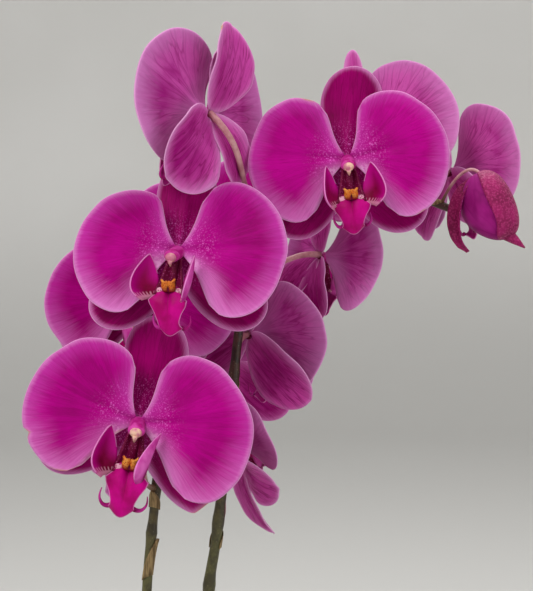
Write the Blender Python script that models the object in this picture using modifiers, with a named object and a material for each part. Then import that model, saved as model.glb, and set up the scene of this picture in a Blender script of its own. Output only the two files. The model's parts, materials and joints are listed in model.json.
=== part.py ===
"""A potted moth orchid with two flower stems, built at its real size in metres.

The origin is the centre of the pot's flat underside, +Z is up, and the blooms mostly face -Y.
Every bloom is one thin-walled solid: five sepals and petals, a lip and a column round a small
hub, with its own stalk, which ends just clear of the flower stem that carries it.
"""

import math
import random
from collections import namedtuple

import bmesh
import bpy
import numpy as np
from mathutils import Matrix, Vector

MM = 0.001
SEAT_GAP = 0.3 * MM
WELD = 0.01 * MM

# Pot and bark
POT_HEIGHT = 120 * MM
POT_FOOT_RADIUS = 48 * MM
POT_RIM_RADIUS = 66 * MM
POT_WALL = 4.5 * MM
POT_FLOOR = 6 * MM
POT_FLOOR_RADIUS = POT_FOOT_RADIUS - POT_WALL + 2 * MM
RIM_BEAD = 2.5 * MM
FOOT_CHAMFER = 2 * MM
POT_STEPS = 24
BARK_TOP = 106 * MM
BARK_CROWN = 3 * MM
CHIP_COUNT = 14
CHIP_SIZE = (15 * MM, 9 * MM, 5 * MM)
CHIP_INNER_RADIUS = 22 * MM
CHIP_OUTER_RADIUS = 50 * MM

# Short leafy stem
CROWN_FOOT = BARK_TOP + BARK_CROWN + SEAT_GAP
CROWN_HEIGHT = 36 * MM
CROWN_RADIUS_LOW = 12 * MM
CROWN_RADIUS_TOP = 7 * MM
CROWN_SIDES = 16

# Leaves: turn round the stem, length, width, rise at the base, droop at the tip, foot above the bark
Leaf = namedtuple("Leaf", "name turn length width rise droop foot")
LEAVES = (
    Leaf("leaf_right_outer", 16, 212 * MM, 66 * MM, 30, -32, 6 * MM),
    Leaf("leaf_left_outer", 198, 202 * MM, 64 * MM, 31, -30, 9 * MM),
    Leaf("leaf_right_middle", 2, 178 * MM, 62 * MM, 50, -8, 15 * MM),
    Leaf("leaf_left_middle", 184, 168 * MM, 60 * MM, 52, -4, 18 * MM),
    Leaf("leaf_right_inner", 22, 118 * MM, 46 * MM, 68, 30, 25 * MM),
    Leaf("leaf_left_inner", 206, 92 * MM, 40 * MM, 74, 46, 29 * MM),
)
LEAF_THICKNESS = 2.0 * MM
LEAF_FOOT_WIDTH = 0.26
LEAF_WIDEST = 0.45
LEAF_KEEL = 0.30

# Flower stems: points of each route in millimetres, from the leafy stem up to the tip
STEM_RADIUS_LOW = 2.9 * MM
STEM_RADIUS_TOP = 1.5 * MM
STEM_TAPER = 1.3
NODE_SWELL = 0.22
NODE_REACH = 0.007
STEM_SPACING = 16 * MM
ROUTES = {
    "right": (
        (8.1, -9.2, 124), (14.5, -15.5, 134), (18, -17, 152), (19, -13, 210), (15, -6, 300), (12, -1, 380),
        (16, -3, 416), (21, -5, 458), (25, -8, 499), (29, -8, 527), (34, -6, 553),
        (45, -2, 568), (61, 2, 574), (79, 5, 572), (98, 6, 566), (118, 4, 558),
    ),
    "left": (
        (-6.45, 9.9, 124), (-13, 19, 134), (-18, 24.5, 152), (-21, 32, 220), (-20, 38, 310), (-18, 41, 383),
        (-14, 43, 428), (-10, 45, 471), (-7, 49, 508), (-6, 56, 534), (-4, 69, 552),
        (-1, 88, 560), (2, 108, 556), (4, 124, 546),
    ),
}
ARCH_START = {"right": 0.700, "left": 0.760}

# Blooms: centre in millimetres, the way each faces (0 is -Y, positive towards +X), how far it
# looks up, its roll clockwise as its own viewer sees it, its petal length, its place on which
# stem, how far its sepals lean (the top one clockwise, the lower right and left ones down), and
# how low its right and left petals reach out
Bloom = namedtuple("Bloom", "name centre turn tilt roll petal stem share lean skew")
BLOOMS = (
    Bloom("bloom_front_low", (-14, -45, 469), -5, -2, 11, 47.5, "right", 0.625, (2, 0, 0), (0.27, 0.05)),
    Bloom("bloom_front_middle", (2, -46, 538), 2, 9, 5, 43.5, "right", 0.755, (3, -1, 7), (0, 0.4)),
    Bloom("bloom_front_high", (71, -31, 576), 0, 0, -5.5, 42.5, "right", 0.880, (6, 0, 4), (0.1, 0.1)),
    Bloom("bloom_top_left", (12, -51.5, 595), -122, 2, -5, 42, "right", 0.825, (-8, 3, 14), (0.15, 0.15)),
    Bloom("bloom_arch_back", (85, 30, 591), 152, 8, 20, 45, "right", 0.905, (-8, 0, 0), (0.15, 0.15)),
    Bloom("bloom_arch_end", (124, 48, 578), 122, 6, 8, 41, "right", 0.975, (0, 5, 5), (0.15, 0.15)),
    Bloom("bloom_right_high", (62, 14, 538), 124, -6, -13, 35.5, "right", 0.780, (0, 19, 12), (0.1, 0.1)),
    Bloom("bloom_right_middle", (30, 14, 503), 137, 10, -9, 42, "right", 0.690, (0, 0, -4), (0.15, 0.15)),
    Bloom("bloom_right_low", (26, 12, 451), 112, 25, 0, 43, "right", 0.570, (0, 0, 8), (0.15, 0.15)),
    Bloom("bloom_left_high", (-21, 6, 516), 8, 2, 4, 43, "left", 0.740, (0, 0, 0), (0.2, 0.2)),
    Bloom("bloom_left_top", (5, 32, 552), 4, 6, -4, 42, "left", 0.820, (0, 0, 0), (0.1, 0.1)),
    Bloom("bloom_left_middle", (20, 76, 486), 155, 0, 4, 42, "left", 0.690, (0, 0, 0), (0.15, 0.15)),
    Bloom("bloom_left_low", (-28, 18, 460), -100, -2, 0, 42, "left", 0.625, (0, 0, 0), (0.15, 0.15)),
    Bloom("bloom_back_high", (-22, 112, 548), -125, 4, -6, 40, "left", 0.905, (0, 0, 0), (0.15, 0.15)),
)

# Bloom proportions, as shares of the petal's length. A petal's edge taper makes its lower inner
# corner fuller than the upper one.
PETAL_AXIS = math.radians(10.5)
PETAL_SPREAD = math.radians(61.5)
PETAL_EDGE_REACH = 0.55
PETAL_EDGE_TAPER = 0.10
PETAL_EDGE_POWER = 2.2
CLAW_SPREAD = 0.20
PETAL_CUP = math.radians(13)
PETAL_ROUNDING = 0.16
PETAL_RECURVE = 0.08
PETAL_FOOT_REACH = 0.03
SEPAL_AXES = (90, -38, 218)
SEPAL_LENGTH = 0.90
SEPAL_HALF_WIDTH = 0.275
SEPAL_FULLNESS = 0.40
SEPAL_LEAN_BACK = 0.10
SEPAL_FOLD = 0.55
TEPAL_THICKNESS = 0.022
HUB_RADIUS = 0.095
COLUMN_LENGTH = 0.23
COLUMN_DROP = 0.075
COLUMN_RADIUS = 0.055
LIP_FOOT = (0.0, -0.34, 0.15)
LIP_FOOT_RADIUS = 0.085
SIDE_LOBE_LENGTH = 0.50
SIDE_LOBE_HALF_WIDTH = 0.15
SIDE_LOBE_START = math.radians(8)
SIDE_LOBE_END = math.radians(112)
SIDE_LOBE_FLARE = 0.38
MID_LOBE_LENGTH = 0.46
MID_LOBE_SHOULDER = 0.185
MID_LOBE_TIP = 0.085
MID_LOBE_FOOT = 0.075
LIP_THICKNESS = 0.026

# Stalks
STALK_RADIUS = 1.25 * MM
STALK_POINTS = 5

# Buds: base and tip in millimetres, largest radius, stem and place on it
Bud = namedtuple("Bud", "name base tip radius stem share")
BUDS = (
    Bud("bud_opening", (128, -9, 574), (145, -15, 546), 10.5, "right", 0.992),
    Bud("bud_back_large", (15, 117, 538), (22, 119, 520), 6.5, "left", 0.955),
    Bud("bud_back_small", (6, 135, 537), (8, 143, 526), 4.5, "left", 0.992),
)

COLOURS = {
    "pot": ((0.82, 0.80, 0.76, 1), 0.25),
    "bark": ((0.16, 0.085, 0.045, 1), 0.95),
    "leafy_stem": ((0.12, 0.20, 0.05, 1), 0.55),
    "leaf": ((0.055, 0.16, 0.035, 1), 0.38),
    "flower_stem": ((0.045, 0.050, 0.018, 1), 0.55),
    "bloom": ((0.40, 0.004, 0.20, 1), 0.5),
    "bud": ((0.30, 0.015, 0.12, 1), 0.55),
}


def clear_scene():
    for existing in list(bpy.data.objects):
        bpy.data.objects.remove(existing)


def make_material(name):
    colour, roughness = COLOURS[name]
    made = bpy.data.materials.new(name)
    made.use_nodes = True
    shader = made.node_tree.nodes["Principled BSDF"]
    shader.inputs["Base Color"].default_value = colour
    shader.inputs["Roughness"].default_value = roughness
    shader.inputs["Metallic"].default_value = 0.0
    return made


def add_object(name, data, collection, material=None):
    made = bpy.data.objects.new(name, data)
    collection.objects.link(made)
    if material:
        data.materials.clear()
        data.materials.append(material)
    return made


def baked(source, collection, material=None):
    """The evaluated mesh of an object, as a new object of the same name; the old one is removed."""
    bpy.context.view_layer.update()
    evaluated = source.evaluated_get(bpy.context.evaluated_depsgraph_get())
    mesh = bpy.data.meshes.new_from_object(evaluated)
    mesh.transform(source.matrix_world)
    name = source.name
    bpy.data.objects.remove(source)
    weld = bmesh.new()
    weld.from_mesh(mesh)
    bmesh.ops.remove_doubles(weld, verts=weld.verts, dist=WELD)
    bmesh.ops.recalc_face_normals(weld, faces=weld.faces)
    weld.to_mesh(mesh)
    weld.free()
    return add_object(name, mesh, collection, material)


def sheet(name, rows, columns, point, thickness, placing, collection):
    """A grid whose (u, v) in -1..1 is moved to point(u, v), made a closed shell of even thickness."""
    grid = bmesh.new()
    bmesh.ops.create_grid(grid, x_segments=rows, y_segments=columns, size=1)
    for vertex in grid.verts:
        vertex.co = placing @ Vector(point(vertex.co.x, vertex.co.y))
    mesh = bpy.data.meshes.new(name)
    grid.to_mesh(mesh)
    grid.free()
    made = add_object(name, mesh, collection)
    shell = made.modifiers.new("thickness", "SOLIDIFY")
    shell.thickness = thickness
    shell.offset = 0
    return baked(made, collection)


def ball(name, centre, radius, placing, collection):
    made = bmesh.new()
    bmesh.ops.create_icosphere(made, subdivisions=1, radius=radius)
    bmesh.ops.transform(made, matrix=placing @ Matrix.Translation(Vector(centre)), verts=made.verts)
    mesh = bpy.data.meshes.new(name)
    made.to_mesh(mesh)
    made.free()
    return add_object(name, mesh, collection)


def rod(name, start, end, radius_start, radius_end, sides, collection):
    """A closed cone between two points."""
    start = Vector(start)
    along = Vector(end) - start
    made = bmesh.new()
    bmesh.ops.create_cone(
        made, cap_ends=True, segments=sides, radius1=radius_start, radius2=radius_end,
        depth=along.length,
    )
    turn = along.to_track_quat("Z", "Y").to_matrix().to_4x4()
    bmesh.ops.transform(
        made, matrix=Matrix.Translation(start + along / 2) @ turn, verts=made.verts
    )
    mesh = bpy.data.meshes.new(name)
    made.to_mesh(mesh)
    made.free()
    return add_object(name, mesh, collection)


def tube(name, points, radii, sides_level, collection):
    """A filled tube of changing radius along a list of points, as a mesh."""
    data = bpy.data.curves.new(name, "CURVE")
    data.dimensions = "3D"
    data.bevel_depth = 1.0
    data.bevel_resolution = sides_level
    data.use_fill_caps = True
    spline = data.splines.new("POLY")
    spline.points.add(len(points) - 1)
    for place, point, radius in zip(spline.points, points, radii):
        place.co = (*point, 1)
        place.radius = radius
    return baked(add_object(name, data, collection), collection)


def smooth_route(points, spacing):
    """Evenly spaced points on a Catmull-Rom curve through the given ones."""
    given = np.array(points, float)
    padded = np.vstack([2 * given[0] - given[1], given, 2 * given[-1] - given[-2]])
    fine = []
    for a, b, c, d in zip(padded, padded[1:], padded[2:], padded[3:]):
        for t in np.linspace(0, 1, 24, endpoint=False):
            fine.append(
                0.5 * (2 * b + (c - a) * t + (2 * a - 5 * b + 4 * c - d) * t**2
                       + (3 * b - a - 3 * c + d) * t**3)
            )
    fine = np.array([*fine, given[-1]])
    walked = np.concatenate([[0], np.cumsum(np.linalg.norm(np.diff(fine, axis=0), axis=1))])
    count = max(2, round(walked[-1] / spacing) + 1)
    stops = np.linspace(0, walked[-1], count)
    return np.stack([np.interp(stops, walked, fine[:, k]) for k in range(3)], axis=1)


def along_route(route, share):
    """The point and the direction at a share of a route's length."""
    place = share * (len(route) - 1)
    low = min(int(place), len(route) - 2)
    point = route[low] + (place - low) * (route[low + 1] - route[low])
    before, after = route[max(low - 1, 0)], route[min(low + 2, len(route) - 1)]
    direction = (after - before) / np.linalg.norm(after - before)
    return Vector(point), Vector(direction)


def stem_radius(share, nodes):
    """The stem's radius at a share of its length, swollen a little where a stalk leaves it."""
    plain = STEM_RADIUS_LOW + (STEM_RADIUS_TOP - STEM_RADIUS_LOW) * share**STEM_TAPER
    swell = sum(math.exp(-(((share - n) / NODE_REACH) ** 2)) for n in nodes)
    return plain * (1 + NODE_SWELL * min(swell, 1))


def fuse(name, pieces, collection, material):
    """One solid from overlapping ones, by a single union with a collection of the others.

    The MANIFOLD solver is used because EXACT leaves slivers where these thin walls cross.
    """
    others = bpy.data.collections.new(f"{name}_others")
    bpy.context.scene.collection.children.link(others)
    body = pieces[0]
    for piece in pieces[1:]:
        for holder in list(piece.users_collection):
            holder.objects.unlink(piece)
        others.objects.link(piece)
    join = body.modifiers.new("join", "BOOLEAN")
    join.operation = "UNION"
    join.operand_type = "COLLECTION"
    join.collection = others
    join.solver = "MANIFOLD"
    body.name = name
    fused = baked(body, collection, material)
    for piece in pieces[1:]:
        bpy.data.objects.remove(piece)
    bpy.data.collections.remove(others)
    fused.data.shade_smooth()
    fused.data.set_sharp_from_angle(angle=math.radians(40))
    return fused


def build_pot(collection, material):
    rim_inner = POT_RIM_RADIUS - POT_WALL
    outline = [
        (rim_inner, POT_HEIGHT - RIM_BEAD / 2),
        (rim_inner + RIM_BEAD / 2, POT_HEIGHT),
        (POT_RIM_RADIUS, POT_HEIGHT),
        (POT_RIM_RADIUS + RIM_BEAD / 2, POT_HEIGHT - RIM_BEAD / 2),
        (POT_RIM_RADIUS + RIM_BEAD / 2, POT_HEIGHT - 3 * RIM_BEAD),
        (POT_RIM_RADIUS - RIM_BEAD / 2, POT_HEIGHT - 4 * RIM_BEAD),
        (POT_FOOT_RADIUS, FOOT_CHAMFER),
        (POT_FOOT_RADIUS - FOOT_CHAMFER, 0),
        (0, 0),
    ]
    inside = [(0, POT_FLOOR), (POT_FLOOR_RADIUS, POT_FLOOR)]
    data = bpy.data.meshes.new("pot")
    ring = [(x, 0, z) for x, z in outline + inside]
    data.from_pydata(ring, [(k, k + 1) for k in range(len(ring) - 1)] + [(len(ring) - 1, 0)], [])
    pot = add_object("pot", data, collection, material)
    turned = pot.modifiers.new("turned", "SCREW")
    turned.steps = turned.render_steps = POT_STEPS
    turned.use_merge_vertices = True
    turned.merge_threshold = WELD
    return baked(pot, collection, material)


def bark_radius(height):
    """The radius of the bark where it meets the pot's sloping inner wall."""
    rim = POT_RIM_RADIUS - POT_WALL
    share = (height - POT_FLOOR) / (POT_HEIGHT - RIM_BEAD / 2 - POT_FLOOR)
    return POT_FLOOR_RADIUS + (rim - POT_FLOOR_RADIUS) * share - 1.5 * SEAT_GAP


def build_bark(collection, material):
    """The bark that fills the pot, with loose chips standing a little out of its top."""
    low = POT_FLOOR + SEAT_GAP
    outline = [
        (0, BARK_TOP + BARK_CROWN),
        (CHIP_INNER_RADIUS, BARK_TOP + BARK_CROWN),
        (bark_radius(BARK_TOP), BARK_TOP),
        (bark_radius(low), low),
        (0, low),
    ]
    data = bpy.data.meshes.new("bark")
    data.from_pydata([(x, 0, z) for x, z in outline], [(k, k + 1) for k in range(4)], [])
    plug = add_object("bark", data, collection)
    turned = plug.modifiers.new("turned", "SCREW")
    turned.steps = turned.render_steps = POT_STEPS
    turned.use_merge_vertices = True
    turned.merge_threshold = WELD
    pieces = [baked(plug, collection)]
    dice = random.Random(4)
    for number in range(CHIP_COUNT):
        chip = bmesh.new()
        bmesh.ops.create_cube(chip, size=1)
        scale = [side * dice.uniform(0.75, 1.2) for side in CHIP_SIZE]
        radius = CHIP_INNER_RADIUS + (CHIP_OUTER_RADIUS - CHIP_INNER_RADIUS) * dice.random() ** 0.7
        turn = number * math.radians(137.5)
        height = BARK_TOP + 0.6 * BARK_CROWN
        place = Vector((radius * math.cos(turn), radius * math.sin(turn), height))
        tumble = Matrix.Rotation(dice.uniform(0, math.pi), 4, "Z") @ Matrix.Rotation(
            dice.uniform(-0.35, 0.35), 4, "X"
        )
        size = Matrix.Diagonal((*scale, 1))
        bmesh.ops.transform(chip, matrix=Matrix.Translation(place) @ tumble @ size, verts=chip.verts)
        mesh = bpy.data.meshes.new("chip")
        chip.to_mesh(mesh)
        chip.free()
        pieces.append(add_object(f"chip_{number:02d}", mesh, collection))
    return fuse("bark", pieces, collection, material)


def build_leafy_stem(collection, material):
    made = rod(
        "leafy_stem", (0, 0, CROWN_FOOT), (0, 0, CROWN_FOOT + CROWN_HEIGHT),
        CROWN_RADIUS_LOW, CROWN_RADIUS_TOP, CROWN_SIDES, collection,
    )
    return baked(made, collection, material)


def crown_radius(height):
    share = (height - CROWN_FOOT) / CROWN_HEIGHT
    return CROWN_RADIUS_LOW + (CROWN_RADIUS_TOP - CROWN_RADIUS_LOW) * share


def leaf_width(share):
    """Half the leaf's width at a share of its length, against half of its greatest width."""
    foot = LEAF_FOOT_WIDTH + (1 - LEAF_FOOT_WIDTH) * min(1, share / LEAF_WIDEST) ** 1.1
    past = max(0.0, (share - LEAF_WIDEST) / (1 - LEAF_WIDEST))
    return foot * math.sqrt(max(0.0, 1 - past**2.6))


def build_leaf(leaf, collection, material):
    """A thick strap leaf that leaves the stem in a keel and arches out and down."""
    foot_height = CROWN_FOOT + leaf.foot
    half = LEAF_THICKNESS / 2
    start = crown_radius(foot_height - half) + SEAT_GAP + half * math.sin(math.radians(leaf.rise))
    steps = 60
    out, up = [start], [foot_height]
    for k in range(steps):
        angle = math.radians(leaf.rise + (leaf.droop - leaf.rise) * ((k + 0.5) / steps) ** 0.9)
        out.append(out[-1] + leaf.length / steps * math.cos(angle))
        up.append(up[-1] + leaf.length / steps * math.sin(angle))
    turn = math.radians(leaf.turn)

    def point(u, v):
        share = (u + 1) / 2
        place = share * steps
        low = min(int(place), steps - 1)
        along = out[low] + (place - low) * (out[low + 1] - out[low])
        height = up[low] + (place - low) * (up[low + 1] - up[low])
        across = v * leaf.width / 2 * leaf_width(min(share, 0.985))
        keel = LEAF_KEEL * (1 - 0.75 * share) * abs(across)
        return (
            along * math.cos(turn) - across * math.sin(turn),
            along * math.sin(turn) + across * math.cos(turn),
            height + keel,
        )

    made = sheet(leaf.name, 9, 2, point, LEAF_THICKNESS, Matrix.Identity(4), collection)
    made.data.materials.append(material)
    made.data.shade_smooth()
    made.data.set_sharp_from_angle(angle=math.radians(40))
    return made


def stem_nodes(stem):
    return [b.share for b in BLOOMS if b.stem == stem] + [b.share for b in BUDS if b.stem == stem]


def build_stem(stem, route, collection, material):
    """A flower stem in two lengths: the upright one, and the arch that carries the last blooms."""
    count = len(route) - 1
    split = round(ARCH_START[stem] * count)
    nodes = stem_nodes(stem)
    for name, first, last in ((f"stem_{stem}", 0, split), (f"stem_{stem}_arch", split, count)):
        points = [Vector(route[k]) for k in range(first, last + 1)]
        if first:
            points[0] += (points[1] - points[0]).normalized() * SEAT_GAP
        radii = [stem_radius(k / count, nodes) for k in range(first, last + 1)]
        made = tube(name, points, radii, 2, collection)
        made.data.materials.append(material)
        made.data.shade_smooth()
        made.data.set_sharp_from_angle(angle=math.radians(50))


def bloom_placing(bloom):
    """The matrix from a bloom's own frame (x right, y up, z out of its face, petal length 1)."""
    turn, tilt = math.radians(bloom.turn), math.radians(bloom.tilt)
    facing = Vector(
        (math.cos(tilt) * math.sin(turn), -math.cos(tilt) * math.cos(turn), math.sin(tilt))
    )
    right = Vector((math.cos(turn), math.sin(turn), 0))
    upright = facing.cross(right)
    roll = Matrix.Rotation(-math.radians(bloom.roll), 4, "Z")
    axes = Matrix((right, upright, facing)).transposed().to_4x4()
    centre = Vector(bloom.centre) * MM
    return Matrix.Translation(centre) @ axes @ roll @ Matrix.Scale(bloom.petal * MM, 4)


def petal_point(side, skew):
    def point(a, b):
        u = (a + 1) / 2
        edge = PETAL_EDGE_REACH * (1 - PETAL_EDGE_TAPER * b)
        reach = edge + (1 - edge) * math.sqrt(
            max(0.0, 1 - abs(b + skew * (1 - b * b)) ** PETAL_EDGE_POWER)
        )
        r = reach * (PETAL_FOOT_REACH + (1 - PETAL_FOOT_REACH) * u)
        fan = PETAL_SPREAD * b * (CLAW_SPREAD + (1 - CLAW_SPREAD) * u * u * (3 - 2 * u))
        x, y = r * math.cos(PETAL_AXIS + fan), r * math.sin(PETAL_AXIS + fan)
        across = r * math.sin(fan)
        z = 0.03 + math.tan(PETAL_CUP) * r - PETAL_RECURVE * r**3 - PETAL_ROUNDING * across**2
        return side * x, y, z

    return point


def sepal_axes(bloom):
    """The way each sepal points in the bloom's own plane: the top one, the lower right, the left."""
    top, right, left = bloom.lean
    offsets = (-top, -right, left)
    return [math.radians(axis + offset) for axis, offset in zip(SEPAL_AXES, offsets)]


def sepal_point(axis):
    def point(a, b):
        along = b * math.sqrt(1 - a * a / 2)
        across = a * math.sqrt(1 - b * b / 2)
        u = (along + 1) / 2
        t = SEPAL_HALF_WIDTH * across * (1 + SEPAL_FULLNESS * (u - 0.5))
        r = 0.02 + SEPAL_LENGTH * u
        z = -0.03 - SEPAL_LEAN_BACK * math.sin(math.pi * u * 0.9) - SEPAL_FOLD * t * t
        c, s = math.cos(axis), math.sin(axis)
        return r * c - t * s, r * s + t * c, z

    return point


def side_lobe_point(side):
    """A lobe that leaves the lip's foot outwards and curls up beside the column."""
    bend = (SIDE_LOBE_END - SIDE_LOBE_START) / SIDE_LOBE_LENGTH

    def point(a, b):
        along = b * math.sqrt(1 - a * a / 2)
        across = a * math.sqrt(1 - b * b / 2)
        u = (along + 1) / 2
        angle = SIDE_LOBE_START + (SIDE_LOBE_END - SIDE_LOBE_START) * u
        x = 0.03 + (math.sin(angle) - math.sin(SIDE_LOBE_START)) / bend
        y = LIP_FOOT[1] - 0.03 + (math.cos(SIDE_LOBE_START) - math.cos(angle)) / bend
        t = SIDE_LOBE_HALF_WIDTH * across
        x += SIDE_LOBE_FLARE * t * math.sin(angle)
        y -= SIDE_LOBE_FLARE * t * math.cos(angle)
        return side * x, y, LIP_FOOT[2] + 0.02 + t * (1 - 0.5 * SIDE_LOBE_FLARE)

    return point


def mid_lobe_point(a, b):
    """The lip's middle lobe: a narrow foot, wide pointed shoulders, and a tapering, drooping tip."""
    u = (a + 1) / 2
    if u < 0.3:
        half = MID_LOBE_FOOT + (MID_LOBE_SHOULDER - MID_LOBE_FOOT) * (u / 0.3) ** 1.5
    else:
        half = MID_LOBE_SHOULDER + (MID_LOBE_TIP - MID_LOBE_SHOULDER) * ((u - 0.3) / 0.7) ** 0.8
    bow = math.radians(35 + 75 * u)
    reach = MID_LOBE_LENGTH * u
    y = LIP_FOOT[1] - 0.01 - reach * math.sin((math.radians(35) + bow) / 2)
    z = LIP_FOOT[2] + 0.02 + reach * math.cos((math.radians(35) + bow) / 2)
    return half * b, y, z - 0.25 * (half * b) ** 2


def stalk_points(start, start_way, end, end_way):
    """Points of a stalk that leaves one place in one direction and arrives at another."""
    pull = 0.45 * (end - start).length
    a, b, c, d = start, start + start_way * pull, end + end_way * pull, end
    shares = [k / (STALK_POINTS - 1) for k in range(STALK_POINTS)]
    return [
        (1 - t) ** 3 * a + 3 * (1 - t) ** 2 * t * b + 3 * (1 - t) * t**2 * c + t**3 * d
        for t in shares
    ]


def seat_on_stem(stem, route, share, target):
    """Where a stalk meets the stem on the side of its target, and the way it leaves it."""
    point, direction = along_route(route, share)
    away = target - point
    away -= away.dot(direction) * direction
    away.normalize()
    radius = stem_radius(share, stem_nodes(stem))
    return point + away * (radius + SEAT_GAP), away


def build_bloom(bloom, route, collection, material):
    placing = bloom_placing(bloom)
    scale = bloom.petal * MM
    pieces = [ball(bloom.name, (0, 0, 0), HUB_RADIUS, placing, collection)]
    for side, skew in zip((1, -1), bloom.skew):
        petal, lobe = petal_point(side, skew), side_lobe_point(side)
        pieces.append(sheet("petal", 5, 5, petal, TEPAL_THICKNESS * scale, placing, collection))
        pieces.append(sheet("lobe", 2, 3, lobe, LIP_THICKNESS * scale, placing, collection))
    for axis in sepal_axes(bloom):
        pieces.append(
            sheet("sepal", 2, 4, sepal_point(axis), TEPAL_THICKNESS * scale, placing, collection)
        )
    pieces.append(
        sheet("middle", 3, 2, mid_lobe_point, LIP_THICKNESS * scale, placing, collection)
    )
    pieces.append(ball("foot", LIP_FOOT, LIP_FOOT_RADIUS, placing, collection))
    tip = placing @ Vector((0, -COLUMN_DROP, COLUMN_LENGTH))
    hub = placing @ Vector((0, 0, 0))
    foot = placing @ Vector(LIP_FOOT)
    pieces.append(
        rod("column", hub, tip, COLUMN_RADIUS * scale, 1.15 * COLUMN_RADIUS * scale, 6, collection)
    )
    pieces.append(
        rod("column_foot", hub, foot, COLUMN_RADIUS * scale, COLUMN_RADIUS * scale, 5, collection)
    )
    back = -(placing.to_3x3() @ Vector((0, 0, 1))).normalized()
    seat, away = seat_on_stem(bloom.stem, route, bloom.share, hub)
    points = stalk_points(seat, away, hub, back)
    pieces.append(tube("stalk", points, [STALK_RADIUS] * len(points), 1, collection))
    return fuse(bloom.name, pieces, collection, material)


def bud_point(bud, base, tip):
    """The skin of a bud: full near its base, drawn out to a beak, with three shallow furrows."""
    axis = tip - base
    turn = axis.to_track_quat("Z", "Y").to_matrix()

    def moved(corner):
        share = (corner.z + 1) / 2
        girth = math.sin(math.pi * share**0.72) ** 0.75 * (1 - 0.25 * share)
        angle = math.atan2(corner.y, corner.x)
        girth *= 1 - 0.09 * math.cos(3 * angle) ** 8
        radius = bud.radius * MM * girth
        flat = Vector((radius * math.cos(angle), radius * math.sin(angle), share * axis.length))
        return base + turn @ flat

    return moved


def build_bud(bud, route, collection, material):
    base, tip = Vector(bud.base) * MM, Vector(bud.tip) * MM
    skin = bud_point(bud, base, tip)
    body = bmesh.new()
    bmesh.ops.create_uvsphere(body, u_segments=9, v_segments=7, radius=1)
    for vertex in body.verts:
        vertex.co = skin(vertex.co)
    mesh = bpy.data.meshes.new(bud.name)
    body.to_mesh(mesh)
    body.free()
    pieces = [add_object(bud.name, mesh, collection)]
    inward = (tip - base).normalized()
    seat, away = seat_on_stem(bud.stem, route, bud.share, base)
    points = stalk_points(seat, away, base + inward * bud.radius * 0.35 * MM, -inward)
    pieces.append(tube("stalk", points, [STALK_RADIUS] * len(points), 1, collection))
    if bud.name == "bud_opening":
        pieces.append(build_open_sepal(bud, base, tip, collection))
    return fuse(bud.name, pieces, collection, material)


def build_open_sepal(bud, base, tip, collection):
    """The first sepal to let go of the opening bud, curling down beside it."""
    length = 1.08 * (tip - base).length
    half_width = 0.55 * bud.radius * MM
    start = base + (tip - base) * 0.03

    def point(a, b):
        along = b * math.sqrt(1 - a * a / 2)
        across = a * math.sqrt(1 - b * b / 2)
        u = (along + 1) / 2
        out = -(0.75 * math.sin(math.pi * min(1, u * 1.05)) + 0.15 * u) * bud.radius * MM
        return (
            start.x + out - 0.3 * abs(across) * half_width,
            start.y + across * half_width * (1 - 0.3 * u),
            start.z - u * length,
        )

    return sheet("sepal", 2, 6, point, 1.4 * MM, Matrix.Identity(4), collection)


def main():
    clear_scene()
    plant = bpy.data.collections.new("potted_moth_orchid")
    bpy.context.scene.collection.children.link(plant)
    materials = {name: make_material(name) for name in COLOURS}
    routes = {
        name: smooth_route([[x * MM for x in p] for p in route], STEM_SPACING)
        for name, route in ROUTES.items()
    }
    build_pot(plant, materials["pot"])
    build_bark(plant, materials["bark"])
    build_leafy_stem(plant, materials["leafy_stem"])
    for leaf in LEAVES:
        build_leaf(leaf, plant, materials["leaf"])
    for name, route in routes.items():
        build_stem(name, route, plant, materials["flower_stem"])
    for bloom in BLOOMS:
        build_bloom(bloom, routes[bloom.stem], plant, materials["bloom"])
    for bud in BUDS:
        build_bud(bud, routes[bud.stem], plant, materials["bud"])


if __name__ == "__main__":
    main()
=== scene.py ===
# %% [markdown]
# A moth orchid in its pot. The imported model gives the frame: every flower, leaf and stem below is
# built round a solid that is already in its place. Loading it first lets each later cell hide the
# solids that its piece stands in for.

# %% Load the imported frame
import json
import math
import random
from collections import namedtuple

import bpy
import numpy as np
from mathutils import Matrix, Vector

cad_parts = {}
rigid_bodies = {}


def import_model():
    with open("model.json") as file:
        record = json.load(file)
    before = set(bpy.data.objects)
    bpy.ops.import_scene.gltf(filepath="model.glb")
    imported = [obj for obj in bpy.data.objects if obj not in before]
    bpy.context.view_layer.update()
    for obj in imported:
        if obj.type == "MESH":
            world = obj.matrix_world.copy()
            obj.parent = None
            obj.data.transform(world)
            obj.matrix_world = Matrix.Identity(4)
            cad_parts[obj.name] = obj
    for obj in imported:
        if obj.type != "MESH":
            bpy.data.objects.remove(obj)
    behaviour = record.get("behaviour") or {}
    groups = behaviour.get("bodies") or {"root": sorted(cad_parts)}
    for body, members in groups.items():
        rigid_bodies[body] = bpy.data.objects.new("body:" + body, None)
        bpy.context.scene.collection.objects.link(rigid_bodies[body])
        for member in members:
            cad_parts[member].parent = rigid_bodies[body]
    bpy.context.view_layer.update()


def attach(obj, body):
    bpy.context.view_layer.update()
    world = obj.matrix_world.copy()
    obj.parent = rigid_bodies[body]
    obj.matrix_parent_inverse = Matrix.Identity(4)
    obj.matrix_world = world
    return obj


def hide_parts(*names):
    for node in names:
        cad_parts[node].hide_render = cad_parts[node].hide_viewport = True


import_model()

MM = 0.001

# %% [markdown]
# The photograph looks level at the upper flowers from about 0.6 m. A camera could be aimed with a
# constraint, but a level camera only needs a place and a quarter turn, which keeps stems upright.
# The lens is worked out so that one pixel in 591 covers 0.435 mm at the plane of the flower stems.

# %% Camera at the photograph's viewing angle
VIEW_FROM = Vector((0.0376, -0.600, 0.520))
PIXEL = 0.435 * MM
PICTURE_HEIGHT = 591
SENSOR = 36

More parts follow.
